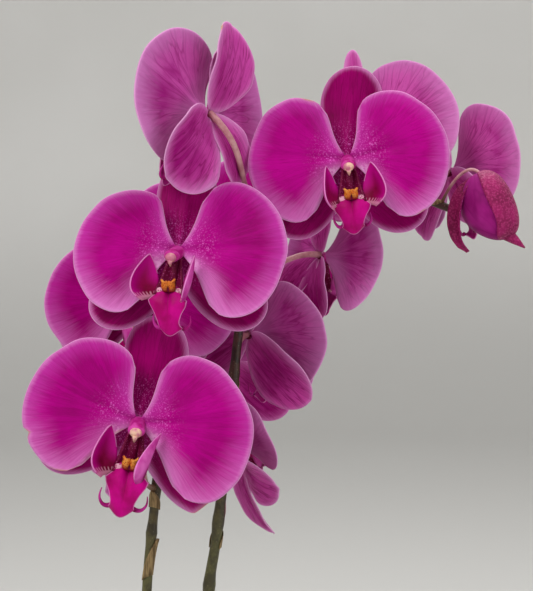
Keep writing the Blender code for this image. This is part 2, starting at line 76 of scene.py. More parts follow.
camera = bpy.data.objects.new("camera", bpy.data.cameras.new("camera"))
camera.location = VIEW_FROM
camera.rotation_euler = (math.radians(90), 0, 0)
camera.data.sensor_width = SENSOR
camera.data.lens = SENSOR * -VIEW_FROM.y / (PICTURE_HEIGHT * PIXEL)
camera.data.clip_end = 100
bpy.context.scene.collection.objects.link(camera)
bpy.context.scene.camera = camera
print("lens in mm:", round(camera.data.lens, 1))

# %% [markdown]
# Every finish below is a Principled shader with a few texture nodes in front of it. Node trees get
# long when each socket is wired by hand, so these helpers add a node and set or link its inputs in
# one call. Colours are written as a screen shows them, 0 to 255, and turned to linear light.


# %% Helpers for finishes
def paint(red, green, blue):
    """A linear colour from the values that a screen shows."""
    linear = []
    for value in (red, green, blue):
        share = value / 255
        linear.append(share / 12.92 if share <= 0.04045 else ((share + 0.055) / 1.055) ** 2.4)
    return (*linear, 1.0)


def wire(tree, kind, inputs=None, output=0, **settings):
    """Adds a node, sets or links its inputs, and returns one of its outputs."""
    node = tree.nodes.new(kind)
    for name, value in settings.items():
        setattr(node, name, value)
    for name, value in (inputs or {}).items():
        if isinstance(value, bpy.types.NodeSocket):
            tree.links.new(value, node.inputs[name])
        else:
            node.inputs[name].default_value = value
    return node.outputs[output]


def sums(tree, operation, first, second=0.0):
    """One step of arithmetic."""
    return wire(tree, "ShaderNodeMath", {0: first, 1: second}, operation=operation)


def times(tree, first, second):
    return sums(tree, "MULTIPLY", first, second)


def scaled(tree, vector, factors):
    """The vector with each of its values multiplied by a factor of its own."""
    return wire(tree, "ShaderNodeVectorMath", {0: vector, 1: factors}, operation="MULTIPLY")


def band(tree, value, low, high, start=0.0, end=1.0):
    """A soft step: start where value is low, end where it is high."""
    return wire(
        tree, "ShaderNodeMapRange",
        {"Value": value, "From Min": low, "From Max": high, "To Min": start, "To Max": end},
        interpolation_type="SMOOTHSTEP",
    )


def blended(tree, factor, first, second):
    """The first colour where the factor is 0, the second where it is 1."""
    return wire(
        tree, "ShaderNodeMix", {0: factor, 6: first, 7: second}, output=2, data_type="RGBA",
    )


def mark(tree, name):
    """A value that each point of the mesh carries."""
    return wire(tree, "ShaderNodeAttribute", output="Fac", attribute_name=name)


def surface_map(tree):
    """The two coordinates of the piece's own UV map."""
    split = tree.nodes.new("ShaderNodeSeparateXYZ")
    tree.links.new(wire(tree, "ShaderNodeUVMap", uv_map="surface"), split.inputs[0])
    return split.outputs[0], split.outputs[1]


def grain(tree, vector, scale, detail=2.0, roughness=0.5):
    return wire(
        tree, "ShaderNodeTexNoise",
        {"Vector": vector, "Scale": scale, "Detail": detail, "Roughness": roughness},
    )


def cells(tree, vector, scale, feature="F1"):
    return wire(
        tree, "ShaderNodeTexVoronoi", {"Vector": vector, "Scale": scale},
        output="Distance", feature=feature,
    )


def raised(tree, height, strength, depth):
    return wire(
        tree, "ShaderNodeBump", {"Height": height, "Strength": strength, "Distance": depth},
    )


def new_finish(name, **values):
    """A material, its tree, its shader and the piece's own coordinates."""
    material = bpy.data.materials.new(name)
    material.use_nodes = True
    tree = material.node_tree
    shader = tree.nodes["Principled BSDF"]
    for socket, value in values.items():
        shader.inputs[socket.replace("_", " ")].default_value = value
    place = wire(tree, "ShaderNodeTexCoord", output="Object")
    return material, tree, shader, place


def finish_with(tree, shader, **sockets):
    for name, source in sockets.items():
        tree.links.new(source, shader.inputs[name.replace("_", " ")])


print("paint test:", [round(x, 3) for x in paint(160, 2, 113)])

# %% [markdown]
# The floor and the backdrop are one large bowl, turned from a profile: flat under the pot, then a
# curved up all round. A plane and a sky would show a hard horizon behind the flowers. The floor
# catches more light than the sides of the bowl, so its paper is a little greyer, which evens the
# two out. The bowl is staged, so it isn't part of the plant.

# %% Floor and backdrop
BOWL_MIDDLE = 1.0
BOWL_FLOOR = 4.5
BOWL_BEND = 1.6
BOWL_BEND_STEPS = 12
BOWL_TOP = 5.5
BOWL_STEPS = 96
GREY_PAPER_HEIGHT = 1.2

profile = [(BOWL_MIDDLE, 0.0), (BOWL_FLOOR, 0.0)]
for step in range(1, BOWL_BEND_STEPS + 1):
    turn = math.radians(90) * step / BOWL_BEND_STEPS
    across = BOWL_FLOOR + BOWL_BEND * math.sin(turn)
    profile.append((across, BOWL_BEND * (1 - math.cos(turn))))
profile.append((BOWL_FLOOR + BOWL_BEND, BOWL_TOP))
points, faces = [], [tuple(range(BOWL_STEPS))]
for across, height in profile:
    for k in range(BOWL_STEPS):
        turn = 2 * math.pi * k / BOWL_STEPS
        points.append((across * math.cos(turn), across * math.sin(turn), height))
for row in range(len(profile) - 1):
    for k in range(BOWL_STEPS):
        a, b = row * BOWL_STEPS + k, row * BOWL_STEPS + (k + 1) % BOWL_STEPS
        faces.append((a, a + BOWL_STEPS, b + BOWL_STEPS, b))
bowl_mesh = bpy.data.meshes.new("backdrop")
bowl_mesh.from_pydata(points, [], faces)
bowl_mesh.shade_smooth()
backdrop = bpy.data.objects.new("backdrop", bowl_mesh)
bpy.context.scene.collection.objects.link(backdrop)

paper, tree, shader, place = new_finish("backdrop_paper", Roughness=0.9)
shade = grain(tree, place, 0.7, 3.0)
pale = blended(tree, band(tree, shade, 0.3, 0.7), paint(230, 229, 226), paint(238, 237, 235))
rise = band(tree, wire(tree, "ShaderNodeSeparateXYZ", {0: place}, 2), 0.0, GREY_PAPER_HEIGHT)
finish_with(tree, shader, Base_Color=blended(tree, rise, paint(198, 197, 194), pale))
bowl_mesh.materials.append(paper)
print("backdrop faces:", len(bowl_mesh.polygons))

# %% [markdown]
# A lamp or a sun would throw hard shadows from one petal on the next. Three large square lights,
# hidden from the camera, and a pale world give the even light of a studio instead. The standard
# view keeps the magentas as strong as they are painted, where a filmic one would turn them grey.


# %% Studio light
def softbox(name, place, target, size, watts, colour):
    """A square area light that looks at a point and isn't itself in view."""
    data = bpy.data.lights.new(name, "AREA")
    data.size = size
    data.energy = watts
    data.color = colour
    light = bpy.data.objects.new(name, data)
    light.location = place
    light.rotation_mode = "QUATERNION"
    light.rotation_quaternion = (Vector(target) - Vector(place)).to_track_quat("-Z", "Y")
    light.visible_camera = False
    bpy.context.scene.collection.objects.link(light)


FLOWERS = (0.03, 0.0, 0.52)
softbox("key", (-1.3, -2.1, 2.3), FLOWERS, 1.4, 45, (1.0, 0.985, 0.96))
softbox("fill", (2.3, -2.2, 1.0), FLOWERS, 2.0, 19, (0.96, 0.98, 1.0))
softbox("top", (0.4, 0.9, 2.6), FLOWERS, 1.6, 34, (1.0, 1.0, 1.0))

world = bpy.data.worlds.new("studio")
world.use_nodes = True
glow = world.node_tree.nodes["Background"].inputs
glow["Color"].default_value = (1.0, 1.0, 1.0, 1.0)
glow["Strength"].default_value = 0.75
bpy.context.scene.world = world
bpy.context.scene.view_settings.view_transform = "Standard"
print("softboxes:", len(bpy.data.lights))

# %% [markdown]
# Leaves and petals are thin skins with two sides and an edge. Solidify could thicken an open grid,
# but a living blade is thin at its margin and thick at its middle, so this builder takes a
# thickness for every point. Each part keeps a UV map that follows the blade, and marks such as the
# distance to the margin, which the finishes read.

# %% Blades, with a front, a back and an edge
Part = namedtuple("Part", "points faces slots uv marks")


def grid(rows, columns, point):
    """The points of a surface for a and b from -1 to 1, and those a and b."""
    a, b = np.meshgrid(np.linspace(-1, 1, rows), np.linspace(-1, 1, columns), indexing="ij")
    return np.stack(point(a, b), axis=-1), a, b


def margin_distance(points, lines):
    """How far each point lies from the nearest point of the margin."""
    margin = np.concatenate(lines)
    flat = points.reshape(-1, 3)
    nearest = np.full(len(flat), np.inf)
    for start in range(0, len(margin), 16):
        gaps = np.linalg.norm(flat[:, None] - margin[None, start : start + 16], axis=2)
        nearest = np.minimum(nearest, gaps.min(1))
    return nearest.reshape(points.shape[:2])


def blade(points, thickness, uv, marks, slots, facing):
    """A closed skin round a grid of points, with its front towards a direction."""
    def normals(grid):
        made = np.cross(np.gradient(grid, axis=0), np.gradient(grid, axis=1))
        return made / np.maximum(np.linalg.norm(made, axis=2, keepdims=True), 1e-12)

    normal = normals(points)
    if (normal @ np.array(facing, float)).mean() < 0:
        points, uv = points[:, ::-1], uv[:, ::-1]
        thickness = thickness[:, ::-1]
        marks = {name: values[:, ::-1] for name, values in marks.items()}
        normal = normals(points)
    rows, columns = points.shape[:2]
    half = normal * thickness[..., None] / 2
    corners = np.concatenate([(points + half).reshape(-1, 3), (points - half).reshape(-1, 3)])
    index = np.arange(rows * columns).reshape(rows, columns)
    below = rows * columns
    front = np.stack([index[:-1, :-1], index[1:, :-1], index[1:, 1:], index[:-1, 1:]], -1)
    front = front.reshape(-1, 4)
    back = front[:, ::-1] + below
    ring = [*index[:, 0], *index[-1, 1:], *index[-2::-1, -1], *index[0, -2:0:-1]]
    edge = [(p, p + below, q + below, q) for p, q in zip(ring, ring[1:] + ring[:1])]
    faces = [*map(tuple, front.tolist()), *map(tuple, back.tolist()), *edge]
    kinds = [slots[0]] * len(front) + [slots[1]] * len(back) + [slots[2]] * len(edge)
    doubled = {name: np.tile(values.ravel(), 2) for name, values in marks.items()}
    return Part(corners, faces, kinds, np.tile(uv.reshape(-1, 2), (2, 1)), doubled)


print("a part holds:", Part._fields)

# %% [markdown]
# Stalks, buds, the column and the pot are round, so they are skins through rings of points. A
# lathe or a bevelled curve would do for some of them, but one builder does for all: a tube stacks
# its rings along a line, a ball along an axis. A fan of triangles shuts each end, and the faces
# are turned round where the skin would enclose a negative volume.

# %% Round parts, built from rings
ODD_WAY = (0.31, 0.95, 0.05)


def outward(points, faces):
    """The faces, turned round if they enclose a negative volume."""
    volume = 0.0
    for face in faces:
        a = points[face[0]]
        for k in range(1, len(face) - 1):
            volume += np.dot(a, np.cross(points[face[k]], points[face[k + 1]]))
    return faces if volume > 0 else [face[::-1] for face in faces]


def rings(loops, slot, uv=None, marks=None):
    """A closed skin through a list of loops of points, shut by a fan at each end."""
    loops = np.array(loops, float)
    count, sides = loops.shape[:2]
    index = np.arange(count * sides).reshape(count, sides)
    faces = []
    for row, above in zip(index, index[1:]):
        faces += [
            (row[k], row[(k + 1) % sides], above[(k + 1) % sides], above[k]) for k in range(sides)
        ]
    low, high = count * sides, count * sides + 1
    faces += [(low, index[0, (k + 1) % sides], index[0, k]) for k in range(sides)]
    faces += [(high, index[-1, k], index[-1, (k + 1) % sides]) for k in range(sides)]
    corners = np.concatenate([loops.reshape(-1, 3), loops[:1].mean(1), loops[-1:].mean(1)])
    if uv is None:
        around, along = np.meshgrid(np.arange(sides) / sides, np.linspace(0, 1, count))
        uv = np.stack([around, along], -1)
    ends = np.concatenate([uv.reshape(-1, 2), uv[:1].mean(1), uv[-1:].mean(1)])
    faces = outward(corners, [tuple(int(k) for k in face) for face in faces])
    return Part(corners, faces, [slot] * len(faces), ends, marks or {})


def tube(points, radii, sides, slot):
    """A closed tube along a list of points, with a frame that doesn't twist."""
    points = np.array(points, float)
    ways = np.gradient(points, axis=0)
    ways /= np.linalg.norm(ways, axis=1, keepdims=True)
    side = np.cross(ways[0], ODD_WAY)
    turns = np.arange(sides) * 2 * math.pi / sides
    loops = []
    for point, way, radius in zip(points, ways, radii):
        side = side - way * np.dot(side, way)
        side /= np.linalg.norm(side)
        up = np.cross(way, side)
        loop = np.cos(turns)[:, None] * side + np.sin(turns)[:, None] * up
        loops.append(point + loop * radius)
    return rings(loops, slot)


def ball(centre, radii, turn, sides, slot):
    """An egg of three radii, turned about the x axis."""
    loops = []
    spin = np.array(Matrix.Rotation(turn, 3, "X"))
    turns = np.arange(2 * sides) * math.pi / sides
    for row in range(1, sides):
        polar = math.pi * row / sides
        wide, high = math.sin(polar), np.full(2 * sides, math.cos(polar))
        loop = np.stack([wide * np.cos(turns), wide * np.sin(turns), high], -1)
        loops.append((loop * radii) @ spin.T + centre)
    return rings(loops, slot)


print("test ball faces:", len(ball((0, 0, 0), (1, 1, 1), 0, 5, 0).faces))

# %% [markdown]
# A flower has some twenty parts. They could stay objects of their own, but one flower is one piece
# here, so its parts are joined in one mesh that keeps the UV map, the marks and the finish of each.
# The piece then takes the place of its solids.


# %% Join parts in one piece
def joined(name, parts, materials, placing=None):
    """One mesh object from a list of parts, with its UV map, marks and materials."""
    corners = np.concatenate([part.points for part in parts])
    if placing is not None:
        matrix = np.array(placing)
        corners = corners @ matrix[:3, :3].T + matrix[:3, 3]
    faces, start = [], 0
    for part in parts:
        faces += [tuple(k + start for k in face) for face in part.faces]
        start += len(part.points)
    mesh = bpy.data.meshes.new(name)
    mesh.from_pydata(corners.tolist(), [], faces)
    kinds = [kind for part in parts for kind in part.slots]
    mesh.polygons.foreach_set("material_index", kinds)
    uv = np.concatenate([part.uv for part in parts])
    layer = mesh.uv_layers.new(name="surface")
    loop_corner = np.zeros(len(mesh.loops), int)
    mesh.loops.foreach_get("vertex_index", loop_corner)
    layer.uv.foreach_set("vector", uv[loop_corner].astype(np.float32).ravel())
    for mark_name in sorted({"edge", *(key for part in parts for key in part.marks)}):
        usual = 1.0 if mark_name == "edge" else 0.0
        values = []
        for part in parts:
            values.append(part.marks.get(mark_name, np.full(len(part.points), usual)))
        attribute = mesh.attributes.new(mark_name, "FLOAT", "POINT")
        attribute.data.foreach_set("value", np.concatenate(values).astype(np.float32))
    for material in materials:
        mesh.materials.append(material)
    mesh.shade_smooth()
    mesh.validate()
    made = bpy.data.objects.new(name, mesh)
    bpy.context.scene.collection.objects.link(made)
    return made


def triangles(piece):
    return sum(len(face.vertices) - 2 for face in piece.data.polygons)


def ready(piece, slot, *nodes):
    """The piece rides with the plant and stands for its solids; the slot is not used."""
    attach(piece, "root")
    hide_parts(*nodes)
    print(piece.name, "triangles:", triangles(piece))


print("finishes so far:", len(bpy.data.materials))

# %% [markdown]
# Two flower stems rise from the leaves and bend over under the weight of their blooms. Their routes
# are short lists of points given in millimetres, with a smooth curve through them. A Bezier curve
# object would do as well, but a list of even steps lets a stalk find its place on the stem by a
# share of the length.

# %% Routes of the flower stems
STEM_RADIUS_LOW = 2.9 * MM
STEM_RADIUS_TOP = 1.5 * MM
STEM_TAPER = 1.3
NODE_SWELL = 0.22
NODE_REACH = 0.007
ROUTE_SPACING = 3 * MM
FINE_STEPS = 24
ROUTES = {
    "right": (
        (8.1, -9.2, 124), (14.5, -15.5, 134), (18, -17, 152), (19, -13, 210), (15, -6, 300),
        (12, -1, 380), (16, -3, 416), (21, -5, 458), (25, -8, 499), (29, -8, 527), (34, -6, 553),
        (45, -2, 568), (61, 2, 574), (79, 5, 572), (98, 6, 566), (118, 4, 558),
    ),
    "left": (
        (-6.45, 9.9, 124), (-13, 19, 134), (-18, 24.5, 152), (-21, 32, 220), (-20, 38, 310),
        (-18, 41, 383), (-14, 43, 428), (-10, 45, 471), (-7, 49, 508), (-6, 56, 534), (-4, 69, 552),
        (-1, 88, 560), (2, 108, 556), (4, 124, 546),
    ),
}


def smooth_route(given, spacing):
    """Evenly spaced points on a Catmull-Rom curve through the given ones."""
    given = np.array(given, float)
    padded = np.vstack([2 * given[0] - given[1], given, 2 * given[-1] - given[-2]])
    fine = []
    for a, b, c, d in zip(padded, padded[1:], padded[2:], padded[3:]):
        for t in np.linspace(0, 1, FINE_STEPS, endpoint=False):
            bent = (2 * a - 5 * b + 4 * c - d) * t**2 + (3 * b - a - 3 * c + d) * t**3
            fine.append(0.5 * (2 * b + (c - a) * t + bent))
    fine = np.array([*fine, given[-1]])
    walked = np.concatenate([[0], np.cumsum(np.linalg.norm(np.diff(fine, axis=0), axis=1))])
    stops = np.linspace(0, walked[-1], round(walked[-1] / spacing) + 1)
    return np.stack([np.interp(stops, walked, fine[:, k]) for k in range(3)], axis=1)


def along_route(route, share):
    """The point and the direction at a share of a route's length."""
    place = share * (len(route) - 1)
    low = min(int(place), len(route) - 2)
    point = route[low] + (place - low) * (route[low + 1] - route[low])
    before, after = route[max(low - 2, 0)], route[min(low + 3, len(route) - 1)]
    return Vector(point), Vector(after - before).normalized()


def stem_radius(share, nodes):
    """The stem's radius at a share of its length, swollen a little where a stalk leaves it."""
    plain = STEM_RADIUS_LOW + (STEM_RADIUS_TOP - STEM_RADIUS_LOW) * share**STEM_TAPER
    swell = sum(math.exp(-(((share - n) / NODE_REACH) ** 2)) for n in nodes)
    return plain * (1 + NODE_SWELL * min(swell, 1))


routes = {
    name: smooth_route(np.array(given) * MM, ROUTE_SPACING) for name, given in ROUTES.items()
}
for name, route in routes.items():
    length = np.linalg.norm(np.diff(route, axis=0), axis=1).sum()
    print(name, "stem length in mm:", round(length / MM))

# %% [markdown]
# Each bloom has its own frame: x to the right, y up, z out of its face, and one unit is the length
# of a petal. The table says where its middle is, which way it faces, and where its stalk leaves the
# stem, so one set of functions makes all fourteen, each with its own lean and its own chance folds.
# Three of them stand a few millimetres off their solids, where the photograph shows them, because
# the solids had to keep clear of each other.

# %% Where the blooms and buds are
Bloom = namedtuple("Bloom", "name centre turn tilt roll petal stem share lean skew")
BLOOMS = (
    Bloom("front_low", (-14, -45, 469), -5, -2, 11, 47.5, "right", 0.625, (2, 0, 0), (0.27, 0.05)),
    Bloom("front_middle", (2, -46, 538), 2, 9, 5, 43.5, "right", 0.755, (3, -1, 7), (0, 0.4)),
    Bloom("front_high", (71, -31, 576), 0, 0, -5.5, 42.5, "right", 0.880, (6, 0, 4), (0.1, 0.1)),
    Bloom("top_left", (12, -51.5, 595), -122, 2, -5, 42, "right", 0.825, (-8, 3, 14), (0.15, 0.15)),
    Bloom("arch_back", (85, 30, 591), 152, 8, 20, 45, "right", 0.905, (-8, 0, 0), (0.15, 0.15)),
    Bloom("arch_end", (124, 48, 578), 122, 6, 8, 41, "right", 0.975, (0, 5, 5), (0.15, 0.15)),
    Bloom("right_high", (62, 14, 538), 124, -6, -13, 35.5, "right", 0.780, (0, 19, 12), (0.1, 0.1)),
    Bloom("right_middle", (30, 14, 503), 137, 10, -9, 42, "right", 0.690, (0, 0, -4), (0.15, 0.15)),
    Bloom("right_low", (26, 12, 451), 112, 25, 0, 43, "right", 0.570, (0, 0, 8), (0.15, 0.15)),
    Bloom("left_high", (-21, 6, 516), 8, 2, 4, 43, "left", 0.740, (0, 0, 0), (0.2, 0.2)),
    Bloom("left_top", (5, 32, 552), 4, 6, -4, 42, "left", 0.820, (0, 0, 0), (0.1, 0.1)),
    Bloom("left_middle", (20, 76, 486), 155, 0, 4, 42, "left", 0.690, (0, 0, 0), (0.15, 0.15)),
    Bloom("left_low", (-28, 18, 460), -100, -2, 0, 42, "left", 0.625, (0, 0, 0), (0.15, 0.15)),
    Bloom("back_high", (-22, 112, 548), -125, 4, -6, 40, "left", 0.905, (0, 0, 0), (0.15, 0.15)),
)
Bud = namedtuple("Bud", "name base tip radius stem share")
BUDS = (
    Bud("bud_opening", (128, -9, 574), (145, -15, 546), 10.5, "right", 0.992),
    Bud("bud_back_large", (15, 117, 538), (22, 119, 520), 6.5, "left", 0.955),
    Bud("bud_back_small", (6, 135, 537), (8, 143, 526), 4.5, "left", 0.992),
)
CARRIED = {
    stem: [flower for flower in (*BLOOMS, *BUDS) if flower.stem == stem] for stem in ROUTES
}
SHIFTS = {"top_left": (2.4, 0, -2.5), "left_high": (2.5, 0, 3.0), "back_high": (3.0, 0, -5.0)}


def bloom_placing(bloom):
    """The matrix from a bloom's own frame to the plant's."""
    turn, tilt = math.radians(bloom.turn), math.radians(bloom.tilt)
    facing = Vector(
        (math.cos(tilt) * math.sin(turn), -math.cos(tilt) * math.cos(turn), math.sin(tilt))
    )
    right = Vector((math.cos(turn), math.sin(turn), 0))
    axes = Matrix((right, facing.cross(right), facing)).transposed().to_4x4()
    roll = Matrix.Rotation(-math.radians(bloom.roll), 4, "Z")
    centre = Vector(bloom.centre) + Vector(SHIFTS.get(bloom.name, (0, 0, 0)))
    return Matrix.Translation(centre * MM) @ axes @ roll @ Matrix.Scale(bloom.petal * MM, 4)


print("blooms:", len(BLOOMS), "buds:", len(BUDS))

# %% [markdown]
# A petal of this orchid is broader than long, on a narrow claw, and cups a little towards the
# viewer. The grid runs from the claw out and from the lower corner to the upper one in polar
# steps, so its lines lie where the veins do. Chance enters as a few slow waves along the margin,
# seeded for each petal, because no two petals lie alike. A fit turns or resizes one petal to how
# it lies in the photograph, and a nick is a small tear with a browned rim.

# %% Shape of a petal
PETAL_GRID = (38, 48)
PETAL_AXIS = math.radians(10.5)
PETAL_SPREAD = math.radians(61.5)
PETAL_EDGE_REACH = 0.55
PETAL_EDGE_TAPER = 0.10
PETAL_EDGE_POWER = 2.2
CLAW_SPREAD = 0.80
CLAW_HEIGHT = 0.03
CLAW_BULGE = 0.02
PETAL_CUP = math.radians(13)
PETAL_ROUNDING = 0.16
PETAL_RECURVE = 0.08
PETAL_FOOT_REACH = 0.03
MIDRIB_DEPTH = 0.012
MIDRIB_WIDTH = 0.035
BLADE_THICKNESS = 0.016
MARGIN_WAVE = 0.012
OUTLINE_WAVE = 0.008
WORN_REACH = 0.030
SEED_RANGE = 50
Nick = namedtuple("Nick", "place width depth")
NICKS = {
    "front_low": ((), (Nick(-0.50, 0.028, 0.045), Nick(-0.93, 0.060, 0.005))),
    "front_high": ((Nick(-0.76, 0.030, 0.008),), (Nick(0.85, 0.060, 0.010),)),
}
Fit = namedtuple("Fit", "swing turn scale spread skew", defaults=(0, 0, 1, 1, 0))
FITS = {
    "front_low": (Fit(turn=2.5), Fit(turn=5, scale=0.96, spread=1.03, skew=0.22)),
    "front_middle": (Fit(turn=-5), Fit(turn=-7, scale=0.95, spread=1.02, skew=0.02)),
    "front_high": (
        Fit(turn=-2, scale=0.97, spread=1.05, skew=0.18), Fit(turn=-2, scale=0.96, skew=0.05),
    ),
    "top_left": (Fit(swing=3, turn=15, scale=0.90, spread=1.32), Fit(swing=-8, turn=8)),
    "arch_back": (Fit(scale=0.75), Fit(turn=5, scale=0.93)),
    "left_high": (Fit(), Fit(turn=-6, scale=0.95, skew=0.15)),
    "left_top": (Fit(), Fit(scale=0.70)),
    "left_low": (Fit(turn=8, scale=0.85), Fit(turn=8, scale=0.85)),
    "back_high": (Fit(turn=-22, scale=0.82), Fit()),
    "right_middle": (Fit(), Fit(scale=0.90)),
    "right_low": (Fit(scale=0.8), Fit(turn=22, scale=0.66)),
}


def waves(dice, count):
    """A sum of a few slow waves with seeded phases, as a function of an angle."""
    terms = []
    for k in range(count):
        terms.append((k + 2, dice.uniform(0, 2 * math.pi), dice.uniform(0.4, 1) / (k + 1)))
    return lambda turn: sum(size * np.sin(number * turn + phase) for number, phase, size in terms)


def bump(place, middle, width):
    """A smooth bump of height 1."""
    return np.exp(-(((place - middle) / width) ** 2))


def thinned(full, edge, share, reach):
    """The thickness of a blade that thins to a share of the full one within reach of its margin."""
    return full * (share + (1 - share) * np.minimum(1, edge / reach))


def petal(side, skew, fit, nicks, dice, slots):
    """One petal on the side 1 or -1 of its flower."""
    wave, crease, outline = waves(dice, 4), waves(dice, 3), waves(dice, 5)
    swing = math.radians(fit.swing)
    axis = PETAL_AXIS + math.radians(fit.turn)

    def point(a, b):
        u = (a + 1) / 2
        edge = PETAL_EDGE_REACH * (1 - PETAL_EDGE_TAPER * b)
        bulge = np.abs(b + (skew + fit.skew) * (1 - b * b)) ** PETAL_EDGE_POWER
        reach = edge + (1 - edge) * np.sqrt(np.maximum(0, 1 - bulge))
        reach = fit.scale * reach * (1 + OUTLINE_WAVE * outline(4 * b))
        reach = reach - sum(nick.depth * bump(b, nick.place, nick.width) for nick in nicks)
        r = reach * (PETAL_FOOT_REACH + (1 - PETAL_FOOT_REACH) * u)
        claw = CLAW_SPREAD + (1 - CLAW_SPREAD) * u * u * (3 - 2 * u)
        fan = PETAL_SPREAD * fit.spread * b * claw
        x, y, across = r * np.cos(axis + fan), r * np.sin(axis + fan), r * np.sin(fan)
        z = CLAW_HEIGHT + math.tan(PETAL_CUP) * r - PETAL_RECURVE * r**3
        z = z - PETAL_ROUNDING * across**2
        z = z + MARGIN_WAVE * wave(2 * b) * u**4 + MARGIN_WAVE * crease(3 * b) * u**2
        z = z - MIDRIB_DEPTH * bump(across, 0, MIDRIB_WIDTH) * (1 - u) * 2
        z = z + CLAW_BULGE * np.sin(math.pi * np.minimum(1, u * 3)) * np.cos(b * math.pi / 2)
        forward = x * math.cos(swing) - z * math.sin(swing)
        return side * forward, y, x * math.sin(swing) + z * math.cos(swing)

    points, a, b = grid(*PETAL_GRID, point)
    edge = margin_distance(points, [points[-1], points[8:, 0], points[8:, -1]])
    torn = sum(bump(b, nick.place, nick.width) for nick in nicks)
    marks = {
        "edge": edge, "seed": np.full(a.shape, dice.uniform(0, SEED_RANGE)),
        "worn": np.clip(torn - edge / WORN_REACH, 0, 1),
    }
    uv = np.stack([b, np.linalg.norm(points, axis=2)], -1)
    return blade(points, thinned(BLADE_THICKNESS, edge, 0.55, 0.12), uv, marks, slots, (0, 0, 1))


print("points on the front of a petal:", math.prod(PETAL_GRID))

# %% [markdown]
# The three sepals stand behind the petals: one points up, two down and outwards. Each is a pointed
# oval, slightly folded along its midrib. A disc pushed out of a square grid gives the oval with no
# pole in the middle, so the veins of the finish run cleanly from foot to tip. Here too a fit turns
# and resizes a single sepal. One of them has lost its tip, and one is browned on its margin.

# %% Shape of a sepal
SEPAL_GRID = (22, 30)
SEPAL_AXES = (90, -38, 218)
SEPAL_FOOT = 0.02
SEPAL_DEPTH = 0.03
SEPAL_LENGTH = 0.90
SEPAL_HALF_WIDTH = 0.275
SEPAL_FULLNESS = 0.40
SEPAL_LEAN_BACK = 0.10
SEPAL_FOLD = 0.55
SEPAL_KEEL = 0.030
TORN_REST = 0.15
SepalFit = namedtuple("SepalFit", "turn length width blunt worn", defaults=(0, 1, 1, 1, 0))
SEPAL_FITS = {
    "front_low": (SepalFit(), SepalFit(1, 1.08, 1, 0.90), SepalFit(-6, 1, 0.90)),
    "front_middle": (SepalFit(), SepalFit(2, 1.10, 1.05), SepalFit(0, 1.09)),
    "front_high": (SepalFit(-5, 1, 1.10), SepalFit(-7, 1.03, 1.10), SepalFit(0, 1.05)),
    "top_left": (
        SepalFit(6, 1, 1.18, worn=0.62), SepalFit(-7, 1.06, 1.38), SepalFit(-5, 0.88, 0.85),
    ),
    "arch_back": (SepalFit(5, width=0.42), SepalFit(), SepalFit()),
    "right_high": (SepalFit(), SepalFit(), SepalFit(15, 0.88)),
    "right_middle": (SepalFit(), SepalFit(), SepalFit(-3, 1.14, 1.12)),
    "right_low": (SepalFit(), SepalFit(-53, 1.02), SepalFit(-28)),
}


def sepal_axes(bloom):
    """The way each sepal points in the bloom's plane: the top one, the lower right, the left."""
    top, right, left = bloom.lean
    return [math.radians(way + lean) for way, lean in zip(SEPAL_AXES, (-top, -right, left))]


def oval(a, b):
    """A square grid pushed out into a disc: the place across and along."""
    return a * np.sqrt(1 - b * b / 2), b * np.sqrt(1 - a * a / 2)


def sepal(axis, fit, dice, slots):
    """One sepal; its tip is torn off beyond the share blunt, its margin is browned at the place worn."""
    wave = waves(dice, 3)
    bend = dice.uniform(-0.03, 0.03)
    axis += math.radians(fit.turn)

    def point(a, b):
        across, along = oval(a, b)
        u = (along + 1) / 2
        t = fit.width * SEPAL_HALF_WIDTH * across * (1 + SEPAL_FULLNESS * (u - 0.5))
        u = np.where(u > fit.blunt, fit.blunt + TORN_REST * (u - fit.blunt), u)
        r = SEPAL_FOOT + fit.length * SEPAL_LENGTH * u
        z = -SEPAL_DEPTH - SEPAL_LEAN_BACK * np.sin(math.pi * u * 0.9) - SEPAL_FOLD * t * t
        z = z + SEPAL_KEEL * bump(t, 0, MIDRIB_WIDTH) * (1 - 0.5 * u)
        z = z + MARGIN_WAVE * wave(2.5 * along) * np.abs(across) ** 3 + bend * u * u
        c, s = math.cos(axis), math.sin(axis)
        return r * c - t * s, r * s + t * c, z

    points, a, b = grid(*SEPAL_GRID, point)
    across, along = oval(a, b)
    edge = margin_distance(points, [points[0], points[-1], points[:, 0], points[:, -1]])
    brown = (fit.worn > 0) * bump(along, fit.worn, 0.10) * (across < 0)
    brown = brown + (fit.blunt < 1) * np.clip((along - 0.70) / 0.15, 0, 0.7)
    marks = {
        "edge": edge, "seed": np.full(a.shape, dice.uniform(0, SEED_RANGE)),
        "worn": np.clip(brown - edge / WORN_REACH, 0, 1),
    }
    uv = np.stack([across, np.linalg.norm(points, axis=2)], -1)
    return blade(points, thinned(BLADE_THICKNESS, edge, 0.6, 0.1), uv, marks, slots, (0, 0, 1))


print("sepal axes in degrees:", SEPAL_AXES)

# %% [markdown]
# The lip is the orchid's landing stage. Sculpting by hand would do for one flower; curves written
# as functions give the same lip at every size and let a flower lean its lobes a little. First come
# the two side lobes, which curl up beside the column like ears. How far they open differs from
# bloom to bloom, so the blooms that show their lips have a share for each side.

# %% Side lobes of the lip
LIP_THICKNESS = 0.018
EAR_GRID = (26, 18)
EAR_WIDTH = 0.325
EAR_STAND = 62
EAR_BEND = 95
EARS = {
    "front_low": (0.10, 0.80), "front_middle": (0.50, 0.80), "front_high": (0.85, 0.60),
    "left_high": (0.6, 0.1),
}
PATCH_REACH = 0.16


